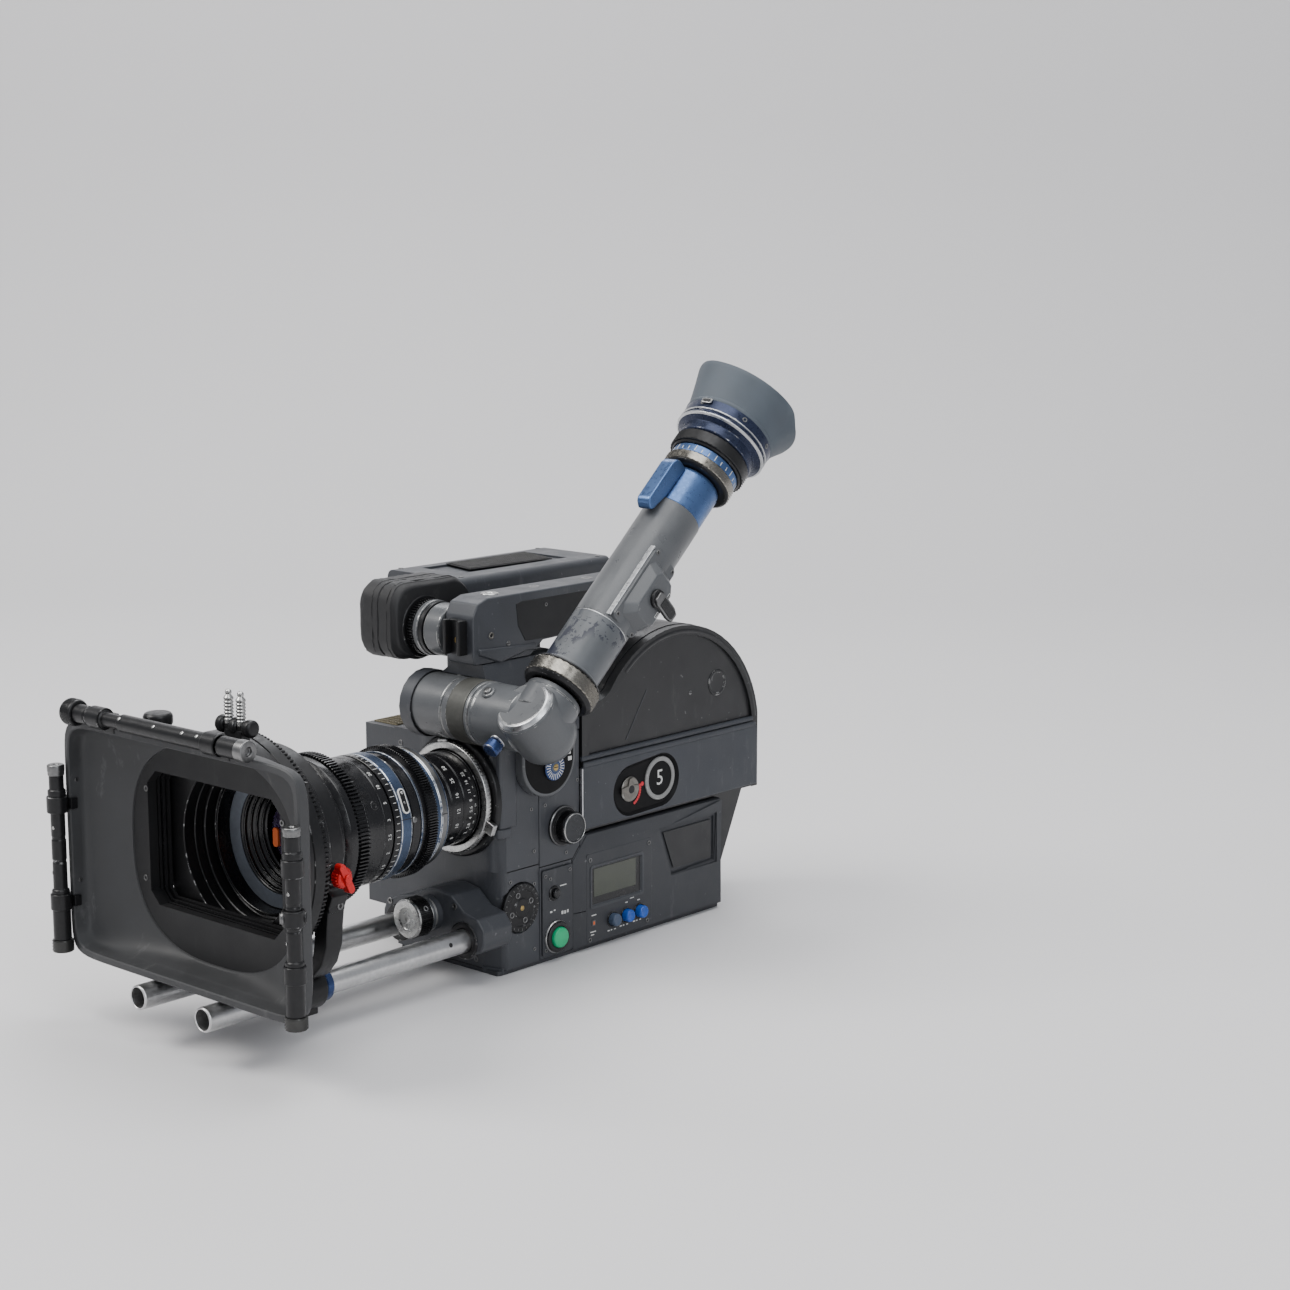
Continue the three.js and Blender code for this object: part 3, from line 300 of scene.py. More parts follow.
# ---- Mesh kit -------------------------------------------------------------------------------------
class Shape:
    """One mesh in the making. `wear` marks the faces of rounded outer edges, where the finish rubs off."""

    def __init__(self):
        self.bm = bmesh.new()
        self.materials = []

    def index(self, material):
        if material not in self.materials:
            self.materials.append(material)
        return self.materials.index(material)

    def take(self, bm, place, material, wear_faces=()):
        """Moves another bmesh into this one, at a place, with one material."""
        layer = bm.faces.layers.float.get("wear") or bm.faces.layers.float.new("wear")
        for face in wear_faces:
            if face.is_valid:
                face[layer] = 1.0
        number = self.index(material)
        for face in bm.faces:
            face.material_index = number
            face.smooth = True
        bm.transform(place)
        bmesh.ops.recalc_face_normals(bm, faces=bm.faces)
        if all(edge.is_manifold for edge in bm.edges) and bm.calc_volume(signed=True) < 0:
            bmesh.ops.reverse_faces(bm, faces=bm.faces)
        mesh = bpy.data.meshes.new("part")
        bm.to_mesh(mesh)
        bm.free()
        if not self.bm.faces.layers.float.get("wear"):
            self.bm.faces.layers.float.new("wear")
        self.bm.from_mesh(mesh)
        bpy.data.meshes.remove(mesh)
        return self

    def turned(self, place, profile, material, edge=0.3, segments=FINE, arc=360):
        """Solid turned about local z from [radius, height] pairs, with its corners taken off by `edge`."""
        self.loft(place, *revolved(profile, edge, segments, arc), material)
        return self

    def loft(self, place, loops, worn, material, closed_loops=True):
        """Skin over loops of points with equal counts; worn[i] marks the band after loop i."""
        bm = bmesh.new()
        layer = bm.faces.layers.float.new("wear")
        rows = [[bm.verts.new(p) for p in loop] for loop in loops]
        count = len(rows[0])
        spans = len(rows) if closed_loops else len(rows) - 1
        for i in range(spans):
            a, b = rows[i], rows[(i + 1) % len(rows)]
            for k in range(count):
                m = (k + 1) % count
                quad = [a[k], a[m], b[m], b[k]]
                if len({tuple(v.co) for v in quad}) < 3:
                    continue
                bm.faces.new(quad)[layer] = worn[i % len(worn)]
        bmesh.ops.remove_doubles(bm, verts=bm.verts, dist=1e-4)
        return self.take(bm, place, material)

    def teeth(self, place, r_root, r_tip, z0, z1, count, material, duty=0.5, core=2.0, flare=0.12):
        """Geared or straight-knurled band round local z."""
        step = 2 * math.pi / count
        corners = []
        for i in range(count):
            for r, share in ((r_root, 0), (r_tip, flare), (r_tip, duty), (r_root, duty + flare)):
                corners.append((r, (i + share) * step))
        chamfer = min(0.35, (z1 - z0) / 4, (r_tip - r_root) * 0.8)
        inner = r_root - core

        def ring(shrink, z, fixed=None):
            return [Vector((
                (fixed or r - shrink * (r > r_root)) * math.cos(t),
                (fixed or r - shrink * (r > r_root)) * math.sin(t), z)) for r, t in corners]

        loops = [ring(0, z0, inner), ring(chamfer, z0), ring(0, z0 + chamfer), ring(0, z1 - chamfer),
                 ring(chamfer, z1), ring(0, z1, inner)]
        return self.loft(place, loops, [0, 1, 0.4, 1, 0, 0], material)

    def knurl(self, place, r, z0, z1, material, pitch=1.3, depth=0.35, core=2.0):
        """Diamond-knurled band round local z."""
        count = max(12, 2 * round(math.pi * r / pitch))
        rows = max(2, round((z1 - z0) / pitch * 2))

        def ring(radius, z, odd=None):
            return [Vector((
                (radius - (0 if odd is None or (k + odd) % 2 else depth)) * math.cos(2 * math.pi * k / count),
                (radius - (0 if odd is None or (k + odd) % 2 else depth)) * math.sin(2 * math.pi * k / count),
                z)) for k in range(count)]

        loops = [ring(r - core, z0), ring(r - depth, z0)]
        loops += [ring(r, z0 + (z1 - z0) * (j + 0.5) / rows, j % 2) for j in range(rows)]
        loops += [ring(r - depth, z1), ring(r - core, z1)]
        return self.loft(place, loops, [0.5], material)

    def slab(self, place, points, z0, z1, material, edge=0.5, segments=2, angle=25):
        """Flat outline of (x, y) points raised along local z, its outer edges rounded."""
        bm = bmesh.new()
        low = [bm.verts.new((*p, z0)) for p in points]
        high = [bm.verts.new((*p, z1)) for p in points]
        bm.faces.new(low)
        bm.faces.new(high)
        for i in range(len(points)):
            k = (i + 1) % len(points)
            bm.faces.new((low[i], low[k], high[k], high[i]))
        bmesh.ops.recalc_face_normals(bm, faces=bm.faces)
        return self.take(bm, place, material, rounded(bm, edge, segments, angle))

    def box(self, x0, x1, y0, y1, z0, z1, material, edge=0.5, segments=2, place=Matrix.Identity(4)):
        points = [(x0, y0), (x1, y0), (x1, y1), (x0, y1)]
        return self.slab(place, points, z0, z1, material, edge, segments)

    def skin(self, place, loops, material, edge=0.5, segments=2, angle=25):
        """Solid through outlines of equal point counts, its outer edges rounded."""
        bm = bmesh.new()
        rows = [[bm.verts.new(p) for p in loop] for loop in loops]
        count = len(rows[0])
        for a, b in zip(rows, rows[1:]):
            for k in range(count):
                m = (k + 1) % count
                bm.faces.new((a[k], a[m], b[m], b[k]))
        bm.faces.new(rows[0])
        bm.faces.new(rows[-1])
        bmesh.ops.recalc_face_normals(bm, faces=bm.faces)
        return self.take(bm, place, material, rounded(bm, edge, segments, angle))

    def digits(self, place, text, size, material, height=0.12, radius=None, turn=0.0):
        """Raised figures at the local origin, or wrapped round local z at `radius` if one is given."""
        curve = bpy.data.curves.new("digits", "FONT")
        curve.body = text
        curve.size = size
        curve.align_x = curve.align_y = "CENTER"
        curve.extrude = height / 2
        curve.resolution_u = 2
        font = bpy.data.objects.new("digits", curve)
        bpy.context.scene.collection.objects.link(font)
        mesh = bpy.data.meshes.new_from_object(font.evaluated_get(bpy.context.evaluated_depsgraph_get()))
        bpy.data.objects.remove(font)
        bm = bmesh.new()
        bm.from_mesh(mesh)
        bpy.data.meshes.remove(mesh)
        bmesh.ops.remove_doubles(bm, verts=bm.verts, dist=1e-4)
        if radius:
            for v in bm.verts:
                r = radius + v.co.z + height / 2
                angle = math.radians(turn) + v.co.x / radius
                v.co = Vector((r * math.cos(angle), r * math.sin(angle), v.co.y))
        return self.take(bm, place, material)

    def solid(self, node, material, edge=0.5, segments=2, angle=25):
        """A CAD node's own shape with rounded outer edges."""
        bm = bmesh.new()
        bm.from_mesh(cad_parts[node].data)
        bm.transform(FROM_ROW)
        bmesh.ops.remove_doubles(bm, verts=bm.verts, dist=0.02)
        bmesh.ops.dissolve_limit(bm, angle_limit=math.radians(1), verts=bm.verts, edges=bm.edges)
        return self.take(bm, Matrix.Identity(4), material, rounded(bm, edge, segments, angle))

    def screw(self, place, r=1.6, material=None, drive="slot", height=0.5):
        """Small screw head standing on the local z = 0 plane."""
        material = material or steel_dark
        if drive == "hex":
            self.turned(place, [(0.45 * r, 0), (r, 0), (r, height), (0.55 * r, height), (0.5 * r, 0.1)],
                        material, 0.12, 24)
            return self.turned(place, [(0, 0), (0.56 * r, 0), (0.56 * r, 0.12), (0, 0.12)], black_matt, 0, 6)
        self.turned(place, [(0, 0), (r, 0), (r, height * 0.7), (0.7 * r, height), (0, height)], material, 0.1,
                24)
        return self.box(-r * 0.85, r * 0.85, -r * 0.14, r * 0.14, height - 0.05, height + 0.04,
                        black_matt, 0, 1, place)

    def cut(self, *tools):
        """Takes other shapes out of this one."""
        for tool in tools:
            shape, knife = self.object("shape"), tool.object("knife")
            modifier = shape.modifiers.new("cut", "BOOLEAN")
            modifier.object = knife
            modifier.operation = "DIFFERENCE"
            modifier.solver = "EXACT"
            modifier.use_self = True
            modifier.material_mode = "TRANSFER"
            mesh = bpy.data.meshes.new_from_object(shape.evaluated_get(bpy.context.evaluated_depsgraph_get()))
            self.materials = list(mesh.materials)
            self.bm = bmesh.new()
            self.bm.from_mesh(mesh)
            for leftover in (shape, knife):
                bpy.data.objects.remove(leftover)
            bpy.data.meshes.remove(mesh)
        return self

    def object(self, name):
        mesh = bpy.data.meshes.new(name)
        self.bm.to_mesh(mesh)
        self.bm.free()
        for material in self.materials:
            mesh.materials.append(material)
        made = bpy.data.objects.new(name, mesh)
        bpy.context.scene.collection.objects.link(made)
        return made

    def piece(self, name, body, slot, *nodes, sharp=38):
        """Finishes the mesh as a named piece on a CAD body, standing for the CAD nodes given."""
        self.bm.transform(TO_ROW)
        made = self.object(name)
        made.data.set_sharp_from_angle(angle=math.radians(sharp))
        weighted = made.modifiers.new("weighted", "WEIGHTED_NORMAL")
        weighted.keep_sharp = True
        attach(made, body)
        if nodes:
            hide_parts(*nodes)
        return made


def rounded(bm, width, segments, angle):
    """Rounds the outer edges of a bmesh and returns the new faces."""
    if not width:
        return []
    limit = math.radians(angle)
    edges = [e for e in bm.edges if len(e.link_faces) == 2 and e.calc_face_angle(0) > limit and e.is_convex]
    made = bmesh.ops.bevel(
        bm, geom=edges, offset=width, segments=segments, profile=0.5, affect="EDGES", clamp_overlap=True)
    return made["faces"]


def softened(profile, edge):
    """A profile with a short chamfer at each corner, as (r, z, starts a chamfer)."""
    points = []
    count = len(profile)
    for i, (r, z) in enumerate(profile):
        here = Vector((r, z))
        back, ahead = Vector(profile[i - 1]) - here, Vector(profile[(i + 1) % count]) - here
        on_axis = r < 1e-6
        straight = back.length < 1e-6 or ahead.length < 1e-6 or back.angle(ahead) > math.radians(165)
        if on_axis or not edge or straight:
            points.append((r, z, 0.0))
            continue
        first = here + back.normalized() * min(edge, back.length * 0.3)
        second = here + ahead.normalized() * min(edge, ahead.length * 0.3)
        points += [(*first, 1.0), (*second, 0.0)]
    return points


def revolved(profile, edge, segments, arc):
    points = softened(profile, edge)
    loops = [[Vector((
        r * math.cos(math.radians(arc) * k / segments), r * math.sin(math.radians(arc) * k / segments), z))
        for k in range(segments)] for r, z, _ in points]
    return loops, [w for _, _, w in points]


def arc_points(cx, cy, r, start, end, count=16):
    """Points on an arc, in degrees, both ends included."""
    return [(cx + r * math.cos(math.radians(start + (end - start) * i / count)),
             cy + r * math.sin(math.radians(start + (end - start) * i / count))) for i in range(count + 1)]


def layers(*rows):
    """Outlines at the heights given, as loops for skin and loft."""
    return [[Vector((x, y, z)) for x, y in outline] for z, outline in rows]


def round_rect(x0, x1, y0, y1, r, count=6):
    return (arc_points(x1 - r, y0 + r, r, -90, 0, count) + arc_points(x1 - r, y1 - r, r, 0, 90, count)
            + arc_points(x0 + r, y1 - r, r, 90, 180, count) + arc_points(x0 + r, y0 + r, r, 180, 270, count))


# ---- Finishes for the CAD nodes, keyed by their material's name and given to them at the end --------
FINISH = {
    "black_metal": black_metal, "body_paint": body_paint, "light_paint": finder_paint, "steel": steel,
    "rod_metal": rod_metal, "blue_metal": blue_ring, "hood_plastic": hood_plastic,
    "black_plastic": black_matt, "cover_black": cover_black, "rubber": rubber, "glass": glass,
    "green_button": green_button, "blue_button": blue_button, "red_metal": red_metal, "film": film_base,
}


# ---- Matte box --------------------------------------------------------------------------------------
HOOD_Z = 111.3
OPEN_W, OPEN_H = 61.0, 41.0
BAR_X, BAR_Y, BAR_TOP = 108.0, -228.0, 191.0
LEVEL = Matrix.Identity(4)


def along(origin, direction):
    """Local z points along a direction from a point."""
    return at(*origin) @ Vector(direction).to_track_quat("Z", "X").to_matrix().to_4x4()


def oval(half_w, half_h, power, y, z=HOOD_Z, count=192):
    points = []
    for i in range(count):
        a = 2 * math.pi * i / count
        c, s = math.cos(a), math.sin(a)
        reach = (abs(c) ** power + abs(s) ** power) ** (-1 / power)
        points.append(Vector((half_w * c * reach, y, z + half_h * s * reach)))
    return points


def chamfered_rect(half_w, z0, z1, corner):
    return [(half_w - corner, z0), (half_w, z0 + corner), (half_w, z1 - corner), (half_w - corner, z1),
            (-half_w + corner, z1), (-half_w, z1 - corner), (-half_w, z0 + corner), (-half_w + corner, z0)]


def facing_lens(y):
    """Outlines in (x, z) standing at y; local z points forward."""
    return at(0, y, 0) @ ALONG_LENS


def hood():
    s = Shape()
    inside = [(103.0, 68.7, 15, -221.6), (102.6, 68.3, 13, -216), (102.2, 68.0, 12, -213.4),
            (101.2, 67.6, 11, -211.8),
              (98.6, 67.1, 9, -210.2), (90, 66.6, 5.5, -205.2), (82, 66.2, 3.5, -200.8),
                      (77.2, 65.6, 2.7, -198.2),
              (76.0, 64.8, 2.6, -197.6), (75.6, 64.4, 2.6, -196.1)]
    outside = [(81, 69.5, 2.8, -196.1), (84, 70.2, 3.6, -199), (95, 71.2, 6, -205.5),
            (103.6, 71.6, 10, -211.6),
               (105.6, 71.9, 13, -214), (105.9, 72.0, 14, -217.4), (107.2, 73.2, 14, -218),
                       (107.4, 73.4, 14, -221.2),
               (106.6, 72.6, 14, -222.2), (103.8, 69.4, 14, -222.2)]
    loops = [oval(*row) for row in inside + outside]
    worn = [0] * (len(loops) - 3) + [1, 0.7, 1]
    s.loft(LEVEL, loops, worn, hood_plastic)
    for x, z in ((-103.6, 84), (-103.6, 146)):
        s.screw(along((x + 0.9, -217.4, z), (1, 0, 0)), 1.3, steel_dark, height=0.4)
    for side in (-1, 1):
        for z in (72, 132):
            s.turned(at(side * BAR_X, BAR_Y, z), [(5.0, -5), (6.3, -5), (6.3, 5), (5.0, 5)], black_metal, 0.5,
                    ROUND)
            s.box(min(side * 101, side * 107), max(side * 101, side * 107), BAR_Y + 5.2, -218, z - 3.4,
                    z + 3.4,
                  black_metal, 0.6)
    for x in (-62, 44):
        s.turned(along((x - 6, BAR_Y, BAR_TOP), (1, 0, 0)), [(5.3, 0), (6.6, 0), (6.6, 12), (5.3, 12)],
                 black_metal, 0.6, ROUND)
        s.box(x - 6, x + 6, BAR_Y + 5.2, -218, 181, BAR_TOP + 2, black_metal, 0.8)
    s.piece("hood", "matte_box", "hood_plastic", "matte_hood", sharp=30)


def opening(y0, y1, grow=0.0):
    tool = Shape()
    points = chamfered_rect(OPEN_W + grow, AXIS_Z - OPEN_H - grow, AXIS_Z + OPEN_H + grow, 8)
    return tool.slab(at(0, 0, 0) @ ALONG_LENS, points, -y1, -y0, black_matt, 0)


def stage():
    s = Shape()
    front = [(x, z) for x, _, z in oval(79.0, 68.4, 2.7, 0)]
    s.slab(facing_lens(0), front, 190.5, 196.6, black_matt, 0.8)
    s.cut(opening(-200, -186))
    for x, z in ((-62.4, 143.3), (-65.6, 87.9), (62.4, 143.3), (65.6, 87.9)):
        s.screw(on_lens(x, z) @ at(0, 0, 196.5), 1.9, steel_dark, "hex", 0.6)
    s.piece("stage_front", "matte_box", "black_plastic")
    r = Shape()
    disc = arc_points(0, AXIS_Z, 70.5, 0, 354, 118)
    r.slab(facing_lens(0), disc, 180.2, 190.4, black_metal, 0.9)
    r.cut(opening(-200, -170, 1.0))
    r.piece("stage_middle", "matte_box", "black_plastic")
    b = Shape()
    for profile in (
        [(49.4, 172), (70.5, 172), (70.5, 180), (49.4, 180)],
        [(49.2, 166), (64.5, 166), (66.5, 168), (66.5, 171.9), (49.2, 171.9)],
        [(47.2, 158.6), (59.5, 158.6), (61, 160), (61, 165.9), (47.2, 165.9)],
        [(46.6, 147), (57.4, 147), (58, 148), (58, 158.4), (46.6, 158.4)],
    ):
        b.turned(LENS, profile, black_metal, 0.5)
    b.teeth(LENS, 67.4, 68.8, 167.4, 171.2, 150, black_metal)
    b.turned(along((50, -159, 105), (1, 0, 0)), [(0, 0), (7, 0), (7, 11), (5.4, 12), (0, 12)], black_metal,
            0.5, ROUND)
    for angle in (20, 65, 115, 160, 200, 250, 290, 340):
        a = math.radians(angle)
        b.screw(at(63 * math.cos(a), -165.9, AXIS_Z + 63 * math.sin(a),
                ALONG_LENS @ Matrix.Rotation(math.pi, 4, "X")),
                1.5, steel_dark, "hex")
    # The near side carries the swing-away arm that reaches down to the rods.
    arm = [(40, 98), (60, 98), (65, 93), (61, 84), (59.6, 74), (58.6, 62), (54, 50), (46, 41), (38, 37),
            (35, 43),
           (42, 48), (46.4, 55), (48, 64), (48, 76), (46, 86)]
    b.slab(facing_lens(0), arm, 150.5, 163.5, black_metal, 1.2)
    b.box(44, 62, -163.5, -150.5, 82, 99, black_metal, 2)
    b.screw(along((62, -155, 86), (1, 0, 0)), 2.2, steel_dark, "hex")
    b.piece("stage_back", "matte_box", "black_plastic", "filter_stage")


def tray():
    s = Shape()
    for k, (y0, y1, grow, finish) in enumerate((
        (-189.4, -187.6, 0.0, black_metal), (-187.0, -185.0, -1.4, black_gloss),
                (-184.4, -182.2, -2.6, black_metal),
    )):
        rim = [(-78 - 4 * (k == 2), AXIS_Z - 51), (69, AXIS_Z - 51), (69, AXIS_Z + 51),
                (-78 - 4 * (k == 2), AXIS_Z + 51)]
        leaf = Shape()
        leaf.slab(facing_lens(0), rim, -y1, -y0, finish, 0.3)
        points = chamfered_rect(OPEN_W + grow, AXIS_Z - OPEN_H - grow, AXIS_Z + OPEN_H + grow, 5)
        knife = Shape().slab(facing_lens(0), points, 170, 200, black_matt, 0)
        leaf.cut(knife)
        leaf.piece(f"filter_leaf_{k}", "tray", "black_plastic", *(["filter_tray"] if k == 0 else []))
    s.box(-84, -78.4, -189.2, -182.4, AXIS_Z - 34, AXIS_Z + 34, black_metal, 0.8)
    for k in range(12):
        z = AXIS_Z - 30 + 5.2 * k
        s.box(-84.7, -83.8, -188.8, -182.8, z, z + 2.4, black_metal, 0.3)
    s.piece("tray_grip", "tray", "black_plastic")


def flag_bar(name, x, body, node, top):
    """Upright bar: nickel head, grooved tube, locking collar and a knurled foot."""
    s = Shape()
    place = at(x, BAR_Y, 0)
    s.turned(place, [(0, 48.6), (5.4, 48.6), (5.4, 68), (4.7, 69), (4.7, 76), (5.3, 77), (5.3, 79.2),
            (4.3, 80),
                     (4.3, 96), (4.0, 96.6), (4.0, 97.6), (4.4, 98.2), (4.4, 110), (4.0, 110.6), (4.0, 112),
                     (4.3, 112.6), (4.3, 136.4), (5.4, 137), (5.4, 140.6), (4.4, 141.4), (4.4, 149.6),
                             (0, 149.6)],
             black_metal, 0.25, ROUND)
    s.knurl(place, 6.6, 41, 48.4, knurl_dark, 1.8, 0.6)
    s.turned(place, [(0, 41.4), (5, 41.4), (5, 48), (0, 48)], black_metal, 0.2, ROUND)
    s.turned(place, [(0, 149.7), (4.9, 149.7), (4.9, 152), (5.2, 152.4), (5.2, top - 0.6), (4.2, top),
            (1.8, top),
                     (1.4, top - 1), (0, top - 1)], steel_dark, 0.3, ROUND)
    for z, direction in ((118, (0.2, -1, 0)), (90, (-0.4, -1, 0))):
        s.screw(along((x + 4.2 * direction[0], BAR_Y - 4.1, z), direction), 1.0, steel, height=0.3)
    s.piece(name, body, "black_metal", node)
    if body == "bar_near":
        c = Shape()
        c.turned(place, [(4.6, 99.4), (6.0, 99.4), (6.4, 100), (6.4, 108), (6.0, 108.6), (4.6, 108.6)],
                black_metal, 0.3, ROUND)
        c.turned(along((x, BAR_Y, 104), (-0.62, -0.78, 0.0)),
                [(2.2, 7.6), (3.2, 7.6), (3.2, 6.6), (3.8, 6.4), (3.8, 5.4),
                                                             (0, 5.4), (0, 6.8), (2.2, 6.8)], steel_dark,
                                                                     0.25, ROUND)
        c.turned(along((x, BAR_Y, 104), (0.62, 0.78, 0.0)),
                [(0, 5.4), (3.4, 5.4), (3.4, 6.6), (2.8, 7.2), (0, 7.2)],
                 black_metal, 0.4, ROUND)
        c.piece("near_bar_clamp", "matte_box", "black_metal")


def top_bar():
    s = Shape()
    place = along((0, BAR_Y, BAR_TOP), (1, 0, 0))
    s.turned(place, [(0, -81.6), (5.6, -81.6), (5.6, -72), (4.7, -71), (4.7, -69.4), (5.6, -68.6), (5.6, -56),
                     (4.2, -55.4), (4.2, -40), (5.2, -39.4), (5.2, 37), (4.5, 37.6), (4.5, 51), (5.9, 52),
                             (5.9, 66.4),
                     (0, 66.4)], black_metal, 0.3, ROUND)
    s.turned(place, [(0, -92), (6.6, -92), (7.8, -91), (7.8, -83), (6.8, -82), (0, -82)], black_metal, 0.5,
            ROUND)
    s.teeth(place, 7.7, 8.1, -90.4, -83.6, 46, black_metal)
    s.turned(place, [(2.6, 73.6), (5.6, 73.6), (6.2, 73), (6.2, 66.6), (0, 66.6), (0, 71.4), (2.6, 71.4)],
             steel_dark, 0.3, ROUND)
    for x in (-38, -6, 20, 33):
        s.screw(along((x, BAR_Y - 3.8, BAR_TOP + 3.4), (0, -0.74, 0.67)), 1.2, steel, height=0.35)
    s.piece("top_bar", "bar_top", "black_metal", "flag_bar_top")


def stud_clamp():
    """Two ribbed nickel studs in a split clamp on top of the stage, and the flag knob beside it."""
    s = Shape()
    for x in (2.0, 14.0, 26.0):
        s.turned(along((x - 3.2, -188, 190.6), (1, 0, 0)),
                [(0, 0), (3.6, 0), (5.2, 1.4), (5.2, 5), (3.6, 6.4), (0, 6.4)],
                 black_metal, 0.4, 40)
    s.box(-1, 29, -190.6, -185.4, 187.6, 192.2, black_metal, 0.8)
    s.box(6, 22, -191.5, -184.5, 178, 189, black_metal, 1.2)
    for x in (7.0, 18.0):
        profile = [(0, 191.5), (2.9, 191.5)]
        for k in range(6):
            z = 194.2 + 2.0 * k
            profile += [(2.9, z), (2.35, z + 0.45), (2.35, z + 0.95), (2.9, z + 1.4)]
        profile += [(2.9, 206.6), (1.5, 208.4), (1.9, 209.2), (1.9, 210.4), (0.9, 211.4), (0, 211.4)]
        s.turned(at(x, -188, 0), profile, steel, 0.12, 40)
    s.turned(at(-44.5, -199.5, 0), [(0, 179), (4.2, 179), (4.2, 183.4), (8, 184.6), (8.8, 186), (8.8, 190.6),
            (7.4, 192.4), (0, 192.4)],
             black_metal, 0.5, ROUND)
    s.piece("stud_clamp", "matte_box", "black_metal")


def matte_clamp():
    s = Shape()
    lobes = (arc_points(30, ROD_Z, 12.5, -120, 60, 16) + [(14, 44), (13, 56.2), (-13, 56.2), (-14, 44)]
             + arc_points(-30, ROD_Z, 12.5, 120, 300, 16))
    s.slab(facing_lens(0), lobes, 148, 167.5, black_metal, 1.4)
    for x in (-ROD_X, ROD_X):
        s.cut(Shape().turned(on_lens(x, ROD_Z), [(0, 140), (7.7, 140), (7.7, 175), (0, 175)], black_matt, 0,
                ROUND))
    s.box(14, 36, -163.5, -151, 14.2, 19, black_metal, 1)
    s.turned(on_lens(ROD_X, ROD_Z), [(7.7, 141), (9.4, 141), (10.2, 142), (10.2, 146.4), (7.7, 146.4)],
            blue_deep, 0.4)
    s.screw(along((0, -157, 14.8), (0, 0, -1)), 2.4, steel_dark, "hex")
    s.piece("rod_clamp", "matte_box", "black_metal", "matte_clamp")
    t = Shape()
    place = along((62.3, -159, 105), (1, 0, 0))
    t.turned(place, [(0, 0), (3, 0), (3, 3), (5.6, 3.4), (5.6, 8.8), (4.4, 10), (0, 10)], red_metal, 0.35,
            ROUND)
    t.teeth(place, 5.5, 6.3, 3.8, 8.4, 20, red_metal)
    wing = round_rect(-10, 10, -2.4, 2.4, 2.3, 5)
    t.slab(place @ Matrix.Rotation(math.radians(25), 4, "Z") @ at(0, 0, 0), wing, 6.0, 11.6, red_metal, 0.8)
    t.turned(place, [(0, 11.6), (2.6, 11.6), (2.6, 12.6), (0, 13)], red_metal, 0.2, 32)
    t.piece("thumbscrew", "thumbscrew", "red_metal", "red_thumbscrew")


hood()
stage()
tray()
flag_bar("far_bar", -BAR_X, "bar_far", "flag_bar_far", 156.5)
flag_bar("near_bar", BAR_X, "bar_near", "flag_bar_near", 155.0)
top_bar()
stud_clamp()
matte_clamp()

# ---- Lens -------------------------------------------------------------------------------------------
def around(t, text_list, radius, size, start, step, shape, material):
    """Figures round a ring at distance t in front of the body, read from behind the lens."""
    for i, text in enumerate(text_list):
        turn = start + i * step
        flip = LENS @ Matrix.Translation((0, 0, t)) @ Matrix.Rotation(math.radians(turn), 4, "Z")
        shape.digits(flip, text, size, material, 0.1, radius)


